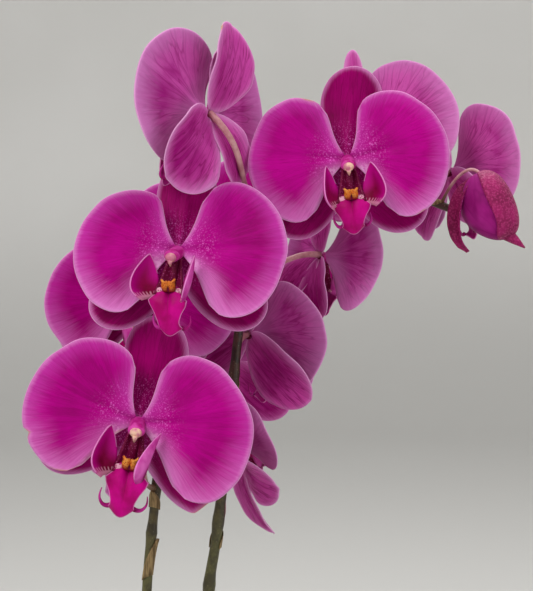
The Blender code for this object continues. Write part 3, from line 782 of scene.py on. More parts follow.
def ear(side, openness, dice, slots):
    """A side lobe: a pointed leaf that stands on the lip's side and bends in towards its rim.

    Openness turns the leaf outwards, so that its dark inside shows, or in over the throat.
    """
    wave = waves(dice, 3)
    first = math.radians(EAR_STAND - 58 * openness)
    bend = math.radians(EAR_BEND - 30 * openness)

    def point(a, b):
        u, v = (a + 1) / 2, (b + 1) / 2
        swell = np.sin(math.pi * np.minimum(0.05 + 0.95 * u, 1) ** 0.65) ** 0.8
        width = EAR_WIDTH * swell + 0.01
        last = first + bend * v
        x = 0.105 + 0.10 * u * u + width / bend * (np.sin(last) - math.sin(first))
        y = -0.445 + 0.385 * u - 0.05 * v * (1 - u) + 0.006 * wave(3 * u) * v
        z = 0.19 - 0.12 * u + 0.11 * u**3 + width / bend * (math.cos(first) - np.cos(last))
        return side * x, y, z

    points, a, b = grid(*EAR_GRID, point)
    edge = margin_distance(points, [points[2:, -1], points[-1], points[14:, 0]])
    thickness = thinned(LIP_THICKNESS, edge, 0.6, 0.08)
    u = (a + 1) / 2
    marks = {"edge": edge, "patch": np.clip((PATCH_REACH - u) / PATCH_REACH, 0, 1)}
    return blade(points, thickness, np.stack([b, u], -1), marks, slots, (-side, 0, 1))


print("lips with lobes of their own:", len(EARS))

# %% [markdown]
# The middle lobe runs forward and droops, widest at two pointed shoulders. Two tendrils leave its
# last corners and curl up. The outline is a short table of half-widths, which is quicker to bend
# to a picture than a formula. A lip fit turns, tilts or resizes the whole lip of one bloom.

# %% Middle lobe and its tendrils
LIP_FOOT = np.array((0.0, -0.36, 0.15))
LOBE_GRID = (28, 25)
LipFit = namedtuple("LipFit", "yaw pitch scale length", defaults=(0, 0, 1, 0.41))
LIP_FITS = {
    "front_low": LipFit(8, 9), "front_middle": LipFit(-13, -5),
    "front_high": LipFit(-3, 0, 1, 0.345), "left_low": LipFit(scale=0.72),
    "right_low": LipFit(scale=0.50), "top_left": LipFit(0, 20),
}
MID_HALF_WIDTHS = (
    (0, 0.085), (0.12, 0.095), (0.22, 0.130), (0.33, 0.182), (0.43, 0.170),
    (0.60, 0.128), (0.76, 0.102), (0.88, 0.100), (1.0, 0.112),
)
SHOULDER = 0.33
TENDRIL_STEPS = 22
TENDRIL_FOOT = 0.020
TENDRIL_TIP = 0.0040
TENDRIL_HOOK = 0.020


def mid_lobe_line(u, length):
    """The middle lobe's own line: forward at first, then drooping."""
    bow = math.radians(48) + math.radians(44) * u
    reach = length * u
    return LIP_FOOT[1] - reach * np.sin(bow), LIP_FOOT[2] + 0.03 + reach * np.cos(bow)


def mid_lobe(length, dice, slots):
    """The middle lobe, and the two corners that its tendrils leave."""
    curl = dice.uniform(0.7, 1.3)
    lean = dice.uniform(-0.03, 0.03)

    def point(a, b):
        u = (a + 1) / 2
        t = np.interp(u, *zip(*MID_HALF_WIDTHS)) * b
        y, z = mid_lobe_line(u, length)
        groove = 0.040 * bump(t, 0, 0.028) * (1 - u) ** 0.6
        shoulder = bump(u, SHOULDER, 0.10) * np.abs(b) ** 3
        corner = np.abs(b) ** 4 * np.clip((u - 0.7) / 0.3, 0, 1) ** 2
        tip = np.clip((u - 0.8) / 0.2, 0, 1)
        z = z - 1.3 * t * t - groove + 0.05 * shoulder - 0.04 * curl * corner
        y = y + 0.02 * curl * corner - 0.030 * np.cos(b * math.pi) * tip
        return t + lean * u * u, y, z

    points, a, b = grid(*LOBE_GRID, point)
    edge = margin_distance(points, [points[-1], points[6:, 0], points[6:, -1]])
    thickness = LIP_THICKNESS * (0.6 + 0.8 * np.minimum(1, edge / 0.12))
    uv = np.stack([b, (a + 1) / 2], -1)
    part = blade(points, thickness, uv, {"edge": edge}, slots, (0, 0.5, 1))
    return part, points[-1, 0], points[-1, -1]


def tendril(corner, side, dice, slot):
    """One of the two tendrils at the lip's tip: it leaves a corner outwards and curls up."""
    steps = np.linspace(0, 1, TENDRIL_STEPS)
    reach = dice.uniform(0.08, 0.12)
    height = dice.uniform(0.10, 0.15)
    hook = TENDRIL_HOOK * np.clip((steps - 0.6) / 0.4, 0, 1)
    hook_turn = steps * math.radians(220)
    out = reach * np.sin(steps * math.pi / 2) - TENDRIL_FOOT + hook * np.sin(hook_turn)
    x = corner[0] + side * out
    y = corner[1] + 0.01 - 0.02 * np.sin(steps * math.pi) + height * steps**2.2
    z = corner[2] + 0.04 * steps + hook * np.cos(hook_turn)
    radii = TENDRIL_FOOT * (1 - steps) ** 0.9 + TENDRIL_TIP
    return tube(np.stack([x, y, z], -1), radii, 7, slot)


print("widest at the shoulder:", dict(MID_HALF_WIDTHS)[SHOULDER])

# %% [markdown]
# Where the lobes meet stands the crest: two small plates with their outer corners drawn up, on a
# low swelling with a spotted pad on each side. A trough behind it joins the lip to the foot of the
# column. From afar a lump would do, but the eye goes here first in a flower, so each has its form.


# %% Throat and crest
def throat(slots):
    """The trough between the column and the lip, dark and finely spotted."""
    def point(a, b):
        u = (a + 1) / 2
        y = -0.09 - 0.34 * u
        z = 0.03 + 0.13 * u**1.4 + 0.07 * b * b
        return 0.13 * b * (0.45 + 0.60 * u), y, z

    points, a, b = grid(14, 13, point)
    uv = np.stack([b, (a + 1) / 2], -1)
    return blade(points, np.full(a.shape, LIP_THICKNESS), uv, {}, slots, (0, 0.3, 1))


def crest(side, dice, slot):
    """One of the two upright plates of the crest, with its outer corner drawn up to a point."""
    horn = dice.uniform(0.005, 0.025)

    def point(a, b):
        u, v = (a + 1) / 2, (b + 1) / 2
        x = side * (0.010 + 0.056 * v * (0.65 + 0.35 * u) + 0.006 * np.sin(6 * u))
        y = -0.400 + 0.095 * u + horn * u * v**3 - 0.010 * u * np.sin(math.pi * v)
        z = LIP_FOOT[2] + 0.075 + 0.055 * u - 0.05 * (v - 0.4) ** 2
        return x, y, z

    points, a, b = grid(9, 9, point)
    thickness = LIP_THICKNESS + 0.008 * (1 - np.abs(a))
    return blade(points, thickness, np.stack([b, a], -1), {}, (slot,) * 3, (0, 0.3, 1))


def crest_seat(dark, pale):
    """The low swelling that the two plates stand on, and the pale spotted pad on each side of it."""
    height = LIP_FOOT[2]
    seat = ball((0, -0.365, height + 0.045), (0.060, 0.050, 0.045), 0.3, 8, dark)
    pads = [
        ball((side * 0.086, -0.402, height + 0.042), (0.050, 0.042, 0.022), 0.3, 9, pale)
        for side in (1, -1)
    ]
    return [seat, *pads]


print("lip foot:", LIP_FOOT)

# %% [markdown]
# The column is the flower's centre, where stamen and pistil have grown into one. Seen from the
# front it is a small rounded hood with a pale anther cap under its edge, and the cap has a beak.
# Two eggs and three tubes are enough at this size, as long as they sink into each other with no
# gap. The stalk behind is a Bezier curve with a tube round it, from the stem to the flower's back.

# %% Shape of the column and the stalk
COLUMN_TIP = np.array((0.0, -0.070, 0.190))
COLUMN_STEPS = 8
COLUMN_FOOT = ((0, 0, 0.02), (0, -0.16, 0.04), (0, -0.33, 0.12))
COLUMN_FOOT_RADII = (0.066, 0.052, 0.042)
CAP_BEAK = ((0, -0.045, 0.048), (0, -0.072, 0.042), (0, -0.100, 0.024))
CAP_BEAK_RADII = (0.028, 0.018, 0.005)
STALK_RADIUS = 1.25 * MM
STALK_STEPS = 16
STALK_SIDES = 10
STALK_PULL = 0.45
SEAT_DEPTH = 0.6


def column(slots):
    """The column with its foot, its cap and the cap's beak."""
    body, cap, dark = slots
    steps = np.linspace(0, 1, COLUMN_STEPS)[:, None]
    line = np.array((0, -0.015, 0)) * (1 - steps) + steps * COLUMN_TIP
    shaft = tube(line, 0.070 - 0.008 * steps[:, 0], 14, body)
    hood = ball(COLUMN_TIP, (0.074, 0.056, 0.050), 0.4, 12, body)
    foot = tube(COLUMN_FOOT, COLUMN_FOOT_RADII, 12, dark)
    anther = ball(COLUMN_TIP + (0, -0.020, 0.036), (0.052, 0.046, 0.036), 0.7, 11, cap)
    beak = tube([COLUMN_TIP + point for point in CAP_BEAK], CAP_BEAK_RADII, 9, cap)
    return [shaft, hood, foot, anther, beak]


def stalk(start, start_way, end, end_way, slot, radius=STALK_RADIUS):
    """A curved stalk, thin in the middle and swollen at both its ends."""
    pull = STALK_PULL * (end - start).length
    corners = (start, start + start_way * pull, end + end_way * pull, end)
    a, b, c, d = (np.array(corner) for corner in corners)
    t = np.linspace(0, 1, STALK_STEPS)[:, None]
    line = (1 - t) ** 3 * a + 3 * (1 - t) ** 2 * t * b + 3 * (1 - t) * t**2 * c + t**3 * d
    share = t[:, 0]
    radii = radius * (0.92 + 0.25 * share**3 + 0.35 * bump(share, 0, 0.06))
    return tube(line, radii, STALK_SIDES, slot)


def seat_on_stem(flower, target):
    """Where a stalk meets its stem on the side of its target, and the way it leaves it."""
    point, way = along_route(routes[flower.stem], flower.share)
    away = target - point
    away -= away.dot(way) * way
    away.normalize()
    radius = stem_radius(flower.share, [other.share for other in CARRIED[flower.stem]])
    return point + away * radius * SEAT_DEPTH, away


print("stalk radius in mm:", STALK_RADIUS / MM)

# %% [markdown]
# Petals are veined from the claw outwards. A picture could carry the veins, but noise that is
# stretched along the petal's own map fans out with it at any size. Three layers are mixed here:
# broad streaks, fine threads and a net of small cells between them.

# %% Veins that fan out over a petal
THREADS_TO_STREAKS = 5.0
NET_TO_STREAKS = 0.9


def thin_lines(tree, noise, width):
    """1 along the lines where a noise crosses its middle, 0 away from them."""
    return band(tree, sums(tree, "ABSOLUTE", sums(tree, "SUBTRACT", noise, 0.5)), width, 0.0)


def vein_layers(tree, across, reach, count):
    """The streaks and the threads as plain noise, and all veins together, from 0 to 1."""
    seed = mark(tree, "seed")

    def fanned(number, stretch):
        return wire(
            tree, "ShaderNodeCombineXYZ",
            {0: times(tree, across, number), 1: times(tree, reach, stretch), 2: seed},
        )

    streaks = grain(tree, fanned(count, 1.6), 1.0, 2.0)
    threads = grain(tree, fanned(THREADS_TO_STREAKS * count, 5.0), 1.0, 2.0)
    net = cells(tree, fanned(NET_TO_STREAKS * count, 1.7), 1.0, "DISTANCE_TO_EDGE")
    fine = times(tree, thin_lines(tree, threads, 0.05), 0.35)
    veins = sums(tree, "MAXIMUM", thin_lines(tree, streaks, 0.035), fine)
    veins = sums(tree, "MAXIMUM", veins, times(tree, band(tree, net, 0.09, 0.0), 0.6))
    return streaks, threads, veins


print("threads to each streak:", THREADS_TO_STREAKS)

# %% [markdown]
# Round the middle of the flower the petals are freckled, and a pale flash lies at the lower corner
# of each claw. Both are spots of cells and noise, held to their place by the distance from the
# flower's middle, which the map carries.


# %% Freckles and the flash
def freckled(tree, colour, place, reach, share):
    big = band(tree, cells(tree, place, 780.0), 0.36, 0.22)
    small = band(tree, cells(tree, place, 1500.0), 0.38, 0.24)
    patchy = band(tree, grain(tree, place, 210.0), 0.43, 0.62)
    spots = sums(tree, "MAXIMUM", times(tree, big, patchy), times(tree, small, 0.6))
    near = times(tree, spots, band(tree, reach, 0.50, 0.16))
    return blended(tree, times(tree, near, share), colour, paint(242, 120, 222))


def flashed(tree, colour, place, across, reach, share):
    flash = times(tree, band(tree, reach, 0.31, 0.21), band(tree, reach, 0.12, 0.20))
    flash = times(tree, flash, band(tree, across, -0.45, -0.80))
    flash = times(tree, flash, band(tree, grain(tree, place, 640.0, 3.0), 0.40, 0.56))
    return blended(tree, times(tree, flash, share), colour, paint(252, 196, 242))


print("freckle colour:", [round(x, 3) for x in paint(242, 120, 222)[:3]])

# %% [markdown]
# Petals shine softly because their skin is a field of tiny cells. The colour is a deep magenta,
# with a lilac wash towards the margin, stronger on the lower half, and a thin white edge. The wash
# and the edge are partly the petal's own paler margin and partly painted light shining through the
# thin margin. The distance to the margin places the wash and the edge, so nothing slides on the
# flower. The front and the back of petals and sepals are four looks of one finish.

# %% Finish of petals and sepals
Blade = namedtuple(
    "Blade", "deep bright wash vein vein_share wash_width wash_share freckles flash count"
)


def washed(tree, colour, look, across, edge, brushed):
    """The colour with the wash and the pale rim laid over it, their limits brushed along the veins. Both
    are partly the margin's own paler colour and partly painted light shining through it.
    """
    width = band(tree, across, 0.9, -1.0, 0.75 * look.wash_width, 1.15 * look.wash_width)
    ratio = sums(tree, "ADD", sums(tree, "DIVIDE", edge, width), brushed)
    wash = blended(tree, band(tree, across, 0.0, -0.9, 0.0, 0.6), look.wash, paint(236, 150, 220))
    lower = band(tree, across, 1.0, -0.7, 0.75, 1.0)
    amount = times(tree, band(tree, ratio, 1.25, -0.2, 0.0, look.wash_share), lower)
    colour = blended(tree, amount, colour, wash)
    rim = sums(tree, "ADD", sums(tree, "DIVIDE", edge, 0.055), times(tree, brushed, 0.8))
    return blended(tree, band(tree, rim, 1.0, -0.1, 0.0, 0.45), colour, paint(228, 158, 216))


def blade_finish(name, look):
    """The finish of one side of a petal or sepal; count is how many veins fan across it."""
    material, tree, shader, place = new_finish(
        name, Specular_IOR_Level=0.05, Sheen_Weight=0.03, Sheen_Roughness=0.4,
        Sheen_Tint=paint(255, 60, 210),
    )
    across, reach = surface_map(tree)
    edge = mark(tree, "edge")
    streaks, threads, veins = vein_layers(tree, across, reach, look.count)
    cloud = grain(tree, place, 46.0, 3.0)
    colour = blended(tree, band(tree, cloud, 0.30, 0.70), look.deep, look.bright)
    # Painted shade: towards the claw the colour darkens to the vein colour, where the parts crowd round
    # the middle of the flower.
    colour = blended(tree, band(tree, reach, 0.42, 0.05, 0.0, 0.45), colour, look.vein)
    streaked = times(tree, band(tree, streaks, 0.42, 0.66), 0.40)
    colour = blended(tree, streaked, colour, look.bright)
    # Painted light: close to the claw the colour lightens again, against the shade that falls between the
    # parts there.
    colour = blended(tree, band(tree, reach, 0.50, 0.15, 0.0, 0.55), colour, look.bright)
    colour = blended(tree, times(tree, veins, look.vein_share), colour, look.vein)
    brushed = times(tree, sums(tree, "SUBTRACT", threads, 0.5), 0.7)
    brushed = sums(tree, "ADD", brushed, sums(tree, "SUBTRACT", cloud, 0.5))
    colour = washed(tree, colour, look, across, edge, brushed)
    if look.freckles:
        colour = freckled(tree, colour, place, reach, look.freckles)
    if look.flash:
        colour = flashed(tree, colour, place, across, reach, look.flash)
    # The thin pale edge: partly the margin's own colour, partly painted light shining through the thin
    # edge.
    colour = blended(tree, band(tree, edge, 0.008, 0.001, 0.0, 0.50), colour, paint(240, 184, 228))
    colour = blended(tree, mark(tree, "worn"), colour, paint(196, 140, 104))
    skin = grain(tree, place, 2600.0, 1.0)
    height = sums(tree, "ADD", times(tree, veins, -0.6), times(tree, skin, 0.35))
    finish_with(
        tree, shader, Base_Color=colour, Roughness=band(tree, skin, 0.3, 0.7, 0.42, 0.58),
        Normal=raised(tree, height, 0.35, 0.25 * MM),
    )
    return material


petal_front = blade_finish("petal_front", Blade(
    deep=paint(150, 0, 106), bright=paint(184, 0, 138),
    wash=paint(198, 62, 172), vein=paint(122, 0, 80),
    vein_share=0.28, wash_width=0.20, wash_share=0.85, freckles=0.65, flash=0.5, count=14,
))
petal_back = blade_finish("petal_back", Blade(
    deep=paint(162, 20, 126), bright=paint(210, 90, 178),
    wash=paint(218, 134, 204), vein=paint(136, 4, 98),
    vein_share=0.55, wash_width=0.28, wash_share=0.8, freckles=0, flash=0, count=7,
))
sepal_front = blade_finish("sepal_front", Blade(
    deep=paint(124, 0, 76), bright=paint(162, 0, 108),
    wash=paint(184, 46, 146), vein=paint(96, 0, 54),
    vein_share=0.45, wash_width=0.06, wash_share=0.6, freckles=0.6, flash=0, count=9,
))
sepal_back = blade_finish("sepal_back", Blade(
    deep=paint(160, 16, 120), bright=paint(204, 72, 166),
    wash=paint(214, 106, 184), vein=paint(122, 2, 82),
    vein_share=0.65, wash_width=0.12, wash_share=0.7, freckles=0, flash=0, count=5,
))
print("finishes:", petal_front.name, petal_back.name, sepal_front.name, sepal_back.name)

# %% [markdown]
# Inside the lip the colour turns to dark crimson, with a pale patch at the foot of each side lobe
# that crimson stripes run into. The stripes are a sine across the mesh's own map, made unsteady by
# noise. The middle lobe is darkest in its groove and has a thin pale edge.


# %% Finish of the lip
def patched(tree, colour, place, across, edge):
    """The inside of a side lobe: a bright margin, and a pale patch that stripes run into."""
    patch = mark(tree, "patch")
    colour = blended(tree, band(tree, edge, 0.16, 0.02), colour, paint(180, 4, 128))
    wobble = sums(tree, "SUBTRACT", grain(tree, place, 420.0, 2.0), 0.5)
    stripes = sums(tree, "SINE", times(tree, across, 24.0))
    stripes = sums(tree, "ADD", stripes, times(tree, wobble, 2.4))
    fingers = times(tree, band(tree, patch, 0.05, 0.35), band(tree, stripes, 0.1, 0.6))
    keep = sums(tree, "MAXIMUM", fingers, band(tree, patch, 0.50, 0.75))
    return blended(tree, times(tree, keep, 0.6), colour, paint(222, 150, 180))


def grooved(tree, colour, across, along):
    """The other sides of the lip: dark at the foot and along the middle line."""
    off_line = sums(tree, "ABSOLUTE", across)
    dark = times(tree, band(tree, along, 0.42, 0.0), band(tree, off_line, 0.55, 0.0))
    colour = blended(tree, dark, colour, paint(84, 0, 24))
    groove = times(tree, band(tree, off_line, 0.06, 0.0, 0.0, 0.5), band(tree, along, 0.9, 0.3))
    return blended(tree, groove, colour, paint(96, 0, 40))


def lip_finish(name, deep, bright, patch=False):
    material, tree, shader, place = new_finish(
        name, Roughness=0.45, Specular_IOR_Level=0.08, Sheen_Weight=0.03,
        Sheen_Tint=paint(255, 60, 210),
    )
    across, along = surface_map(tree)
    cloud = grain(tree, place, 140.0, 3.0)
    edge = mark(tree, "edge")
    colour = blended(tree, band(tree, cloud, 0.3, 0.7), deep, bright)
    if patch:
        colour = patched(tree, colour, place, across, edge)
    else:
        colour = grooved(tree, colour, across, along)
    colour = blended(tree, band(tree, edge, 0.011, 0.002, 0.0, 0.6), colour, paint(240, 160, 222))
    lengthwise = wire(
        tree, "ShaderNodeCombineXYZ", {0: times(tree, across, 22.0), 1: times(tree, along, 3.0)},
    )
    finish_with(
        tree, shader, Base_Color=colour,
        Roughness=band(tree, cloud, 0.3, 0.7, 0.38, 0.55),
        Normal=raised(tree, grain(tree, lengthwise, 1.0, 2.0), 0.35, 0.3 * MM),
    )
    return material


ear_inside = lip_finish("ear_inside", paint(100, 0, 34), paint(138, 0, 70), patch=True)
ear_outside = lip_finish("ear_outside", paint(184, 36, 140), paint(220, 104, 188))
lobe_front = lip_finish("lobe_front", paint(160, 0, 94), paint(196, 0, 132))
lobe_back = lip_finish("lobe_back", paint(150, 4, 100), paint(190, 50, 150))
print("lip finishes:", ear_inside.name, ear_outside.name, lobe_front.name, lobe_back.name)

# %% [markdown]
# The throat and the pads are dotted, and the crest is orange-yellow with red dots and a red foot.
# Voronoi cells give the dots: near the middle of each cell the second colour shows. A bump lifts
# them a little.


# %% Dotted finishes of the throat, the pads and the crest
def crest_ground(tree, place):
    """Orange and yellow in soft clouds, red towards the foot."""
    warm = band(tree, grain(tree, place, 500.0), 0.35, 0.65)
    ground = blended(tree, warm, paint(214, 112, 34), paint(232, 158, 66))
    foot = band(tree, surface_map(tree)[1], 0.1, -0.9)
    return blended(tree, foot, ground, paint(132, 14, 20))


def dotted(name, roughness, gloss, size, limits, share, ground, dot, lift):
    """Dots on a ground, which is a colour or a function that mixes one.

    The limits say how far each dot reaches in its cell, and the share how strong it is.
    """
    material, tree, shader, place = new_finish(
        name, Roughness=roughness, Specular_IOR_Level=gloss,
    )
    dots = band(tree, cells(tree, place, size), *limits)
    if callable(ground):
        ground = ground(tree, place)
    finish_with(
        tree, shader, Base_Color=blended(tree, times(tree, dots, share), ground, dot),
        Normal=raised(tree, dots, *lift),
    )
    return material


spotted = dotted(
    "throat_spotted", 0.5, 0.15, 1150.0, (0.34, 0.2), 0.5,
    paint(108, 0, 54), paint(190, 84, 150), (0.4, 0.2 * MM),
)
lip_pale = dotted(
    "lip_pale", 0.45, 0.2, 1150.0, (0.46, 0.30), 0.8,
    paint(226, 166, 190), paint(158, 12, 88), (0.3, 0.15 * MM),
)
crest_yellow = dotted(
    "crest_yellow", 0.4, 0.25, 1700.0, (0.42, 0.24), 0.75,
    crest_ground, paint(140, 16, 20), (0.4, 0.15 * MM),
)
print("dotted finishes:", spotted.name, lip_pale.name, crest_yellow.name)

# %% [markdown]
# The column is pink and its cap cream, each in soft clouds of two colours. The stalks are clouded
# too, and turn olive towards the stem: the map of a tube runs from 0 at its foot to 1 at its end.


# %% Clouded finishes of the column and the stalks
def clouded(name, roughness, gloss, noise, limits, colours, lift):
    """Two colours in soft clouds, on a skin that follows them a little."""
    material, tree, shader, place = new_finish(
        name, Roughness=roughness, Specular_IOR_Level=gloss,
    )
    cloud = grain(tree, place, *noise)
    colour = blended(tree, band(tree, cloud, *limits), *colours)
    finish_with(tree, shader, Base_Color=colour, Normal=raised(tree, cloud, *lift))
    return material, colour


column_pink, _ = clouded(
    "column_pink", 0.42, 0.2, (260.0, 2.0), (0.38, 0.62),
    (paint(176, 12, 122), paint(208, 66, 164)), (0.2, 0.2 * MM),
)
cap_cream, _ = clouded(
    "cap_cream", 0.4, 0.3, (340.0, 2.0), (0.42, 0.62),
    (paint(236, 190, 168), paint(204, 118, 146)), (0.2, 0.15 * MM),
)
stalk_pink, body = clouded(
    "stalk_pink", 0.45, 0.3, (220.0, 3.0), (0.35, 0.65),
    (paint(208, 160, 160), paint(180, 118, 126)), (0.25, 0.2 * MM),
)
tree = stalk_pink.node_tree
olive_foot = blended(tree, band(tree, surface_map(tree)[1], 0.45, 0.0), body, paint(104, 76, 52))
finish_with(tree, tree.nodes["Principled BSDF"], Base_Color=olive_foot)
print("clouded finishes:", column_pink.name, cap_cream.name, stalk_pink.name)

# %% [markdown]
# Now the blooms are put together. Every part is built in the flower's own frame and placed once,
# so its object stays at the origin. The stalk is worked out in the plant's frame, because it runs
# from the stem to the flower, and is brought back into the flower's frame before joining. The top
# bloom hangs with its back to the viewer, and its stalk bends down across that back.

# %% Build the blooms
FLOWER_MATERIALS = (
    petal_front, petal_back, sepal_front, sepal_back, ear_inside, ear_outside, lobe_front, lobe_back,
    spotted, crest_yellow, lip_pale, column_pink, cap_cream, stalk_pink,
)
SLOT = {material.name: k for k, material in enumerate(FLOWER_MATERIALS)}
HUB_DEPTH = 0.02
STALK_BENDS = {"top_left": (0.1, 0, -0.9)}
BLOOM_SEED = 100


def moved(part, matrix):
    """The part with its points moved by a matrix."""
    matrix = np.array(matrix)
    return part._replace(points=part.points @ matrix[:3, :3].T + matrix[:3, 3])


def lip(name, fit, dice):
    """The lip with the column over it, turned and tilted a little as the fit says."""
    inside, outside = SLOT["ear_inside"], SLOT["ear_outside"]
    opens = EARS.get(name, (dice.uniform(0.4, 0.9), dice.uniform(0.4, 0.9)))
    parts = [ear(side, wide, dice, (inside, outside, inside)) for side, wide in zip((1, -1), opens)]
    front, back = SLOT["lobe_front"], SLOT["lobe_back"]
    middle, low_corner, high_corner = mid_lobe(fit.length, dice, (front, back, front))
    left, right = sorted((tuple(low_corner), tuple(high_corner)))
    parts += [middle, tendril(right, 1, dice, back), tendril(left, -1, dice, back)]
    parts.append(throat((SLOT["throat_spotted"],) * 3))
    parts += [crest(side, dice, SLOT["crest_yellow"]) for side in (1, -1)]
    parts += crest_seat(SLOT["throat_spotted"], SLOT["lip_pale"])
    parts += column((SLOT["column_pink"], SLOT["cap_cream"], SLOT["throat_spotted"]))
    yaw = Matrix.Rotation(math.radians(fit.yaw), 4, "Y")
    pitch = Matrix.Rotation(-math.radians(fit.pitch), 4, "X")
    return [moved(part, yaw @ pitch @ Matrix.Scale(fit.scale, 4)) for part in parts]


def build_bloom(bloom, seed):
    """One flower with its stalk, in place of its solid."""
    dice = random.Random(seed)
    placing = bloom_placing(bloom)
    front, back = SLOT["petal_front"], SLOT["petal_back"]
    fits = FITS.get(bloom.name, (Fit(), Fit()))
    nicks = NICKS.get(bloom.name, ((), ()))
    parts = []
    for side, skew, fit, places in zip((1, -1), bloom.skew, fits, nicks):
        parts.append(petal(side, skew, fit, places, dice, (front, back, front)))
    front, back = SLOT["sepal_front"], SLOT["sepal_back"]
    for axis, fit in zip(sepal_axes(bloom), SEPAL_FITS.get(bloom.name, (SepalFit(),) * 3)):
        parts.append(sepal(axis, fit, dice, (front, back, front)))
    parts += lip(bloom.name, LIP_FITS.get(bloom.name, LipFit()), dice)
    hub = placing @ Vector((0, 0, -HUB_DEPTH))
    back_way = -(placing.to_3x3() @ Vector((0, 0, 1))).normalized()
    back_way = (back_way + Vector(STALK_BENDS.get(bloom.name, (0, 0, 0)))).normalized()
    seat, away = seat_on_stem(bloom, hub)
    flower_stalk = stalk(seat, away, hub, back_way, SLOT["stalk_pink"])
    parts.append(moved(flower_stalk, placing.inverted()))
    flower = joined(f"flower_{bloom.name}", parts, FLOWER_MATERIALS, placing)
    ready(flower, "bloom", f"bloom_{bloom.name}")


for number, bloom in enumerate(BLOOMS):
    build_bloom(bloom, BLOOM_SEED + number)

# %% [markdown]
# Geometry Nodes make what repeats or follows a path. These helpers start a tree with named inputs,
# and turn what it makes into a plain mesh. A modifier's input is set by the identifier of its
# socket, because the name alone isn't a key, and before the object is first evaluated.


# %% Helpers for node trees
def group(name, inputs):
    """An empty Geometry Nodes tree with named inputs and one geometry output."""
    tree = bpy.data.node_groups.new(name, "GeometryNodeTree")
    for label, kind in inputs.items():
        tree.interface.new_socket(label, in_out="INPUT", socket_type=f"NodeSocket{kind}")
    tree.interface.new_socket("Geometry", in_out="OUTPUT", socket_type="NodeSocketGeometry")
    given = tree.nodes.new("NodeGroupInput").outputs
    return tree, given


def named(tree, name, data_type="FLOAT"):
    return wire(tree, "GeometryNodeInputNamedAttribute", {"Name": name}, data_type=data_type)


def closing(tree, geometry):
    tree.links.new(geometry, tree.nodes.new("NodeGroupOutput").inputs[0])


def grown(name, base, tree, values):
    """The mesh that a tree makes from a base object, as a plain new object."""
    modifier = base.modifiers.new("grown", "NODES")
    modifier.node_group = tree
    for item in tree.interface.items_tree:
        if item.in_out == "INPUT" and item.name in values:
            modifier[item.identifier] = values[item.name]
    bpy.context.view_layer.update()
    evaluated = base.evaluated_get(bpy.context.evaluated_depsgraph_get())
    mesh = bpy.data.meshes.new_from_object(evaluated)
    mesh.name = name
    base.modifiers.remove(modifier)
    bpy.data.objects.remove(base)
    made = bpy.data.objects.new(name, mesh)
    bpy.context.scene.collection.objects.link(made)
    return made


# %% [markdown]
# Both flower stems are tapering rods with a knot wherever a stalk leaves, and a dry little leaf, a
# bract, at every knot. Geometry Nodes suit this: a line of points carries its own thickness, Curve
# to Mesh gives it a skin, noise raises fine ridges on it, and the bract is set on the marked
# points, turned along the stem.

# %% A node tree for a stem with bracts
RIDGE_STRETCH = (1.0, 1.0, 0.16)

stem_tree, given = group(
    "stem_with_bracts",
    {"Line": "Geometry", "Sides": "Int", "Ridge": "Float", "Bract": "Object",
     "Stem finish": "Material", "Bract finish": "Material"},
)
curve = wire(stem_tree, "GeometryNodeMeshToCurve", {"Mesh": given["Line"]})
circle = wire(
    stem_tree, "GeometryNodeCurvePrimitiveCircle", {"Resolution": given["Sides"], "Radius": 1.0},
)
thickness = named(stem_tree, "thickness")
skin = wire(
    stem_tree, "GeometryNodeCurveToMesh",
    {"Curve": curve, "Profile Curve": circle, "Scale": thickness, "Fill Caps": True},
)
stretched = scaled(stem_tree, wire(stem_tree, "GeometryNodeInputPosition"), RIDGE_STRETCH)
ridges = sums(stem_tree, "SUBTRACT", grain(stem_tree, stretched, 900.0, 2.0), 0.5)
lift = wire(
    stem_tree, "ShaderNodeVectorMath",
    {0: wire(stem_tree, "GeometryNodeInputNormal"), "Scale": times(stem_tree, ridges, given["Ridge"])},
    operation="SCALE",
)
skin = wire(stem_tree, "GeometryNodeSetPosition", {"Geometry": skin, "Offset": lift})
upright = wire(
    stem_tree, "FunctionNodeAlignRotationToVector",
    {"Vector": named(stem_tree, "way", "FLOAT_VECTOR")}, axis="Z",
)
turned = wire(
    stem_tree, "FunctionNodeAlignRotationToVector",
    {"Rotation": upright, "Vector": named(stem_tree, "side", "FLOAT_VECTOR")},
    axis="X", pivot_axis="Z",
)
bract = wire(stem_tree, "GeometryNodeObjectInfo", {"Object": given["Bract"]}, output="Geometry")
bracts = wire(
    stem_tree, "GeometryNodeInstanceOnPoints",
    {"Points": given["Line"], "Selection": named(stem_tree, "bract"), "Instance": bract,
     "Rotation": turned, "Scale": named(stem_tree, "bract_size", "FLOAT_VECTOR")},
)
both = stem_tree.nodes.new("GeometryNodeJoinGeometry")
stem_tree.links.new(bracts, both.inputs[0])
stem_tree.links.new(skin, both.inputs[0])
solid = wire(stem_tree, "GeometryNodeRealizeInstances", {"Geometry": both.outputs[0]})
solid = wire(stem_tree, "GeometryNodeSetShadeSmooth", {"Geometry": solid, "Shade Smooth": True})
solid = wire(stem_tree, "GeometryNodeSetMaterial", {"Geometry": solid, "Material": given["Stem finish"]})
closing(
    stem_tree,
    wire(
        stem_tree, "GeometryNodeSetMaterial",
        {"Geometry": solid, "Selection": named(stem_tree, "dry"), "Material": given["Bract finish"]},
    ),
)
print("stem tree nodes:", len(stem_tree.nodes))

# %% [markdown]
# Low down the stems are mottled olive, and they darken to a brown that is almost black where they
# arch. The share of the length that each point carries places that change. The bracts are dry and
# straw-coloured at their tips, with fine lengthwise fibres.

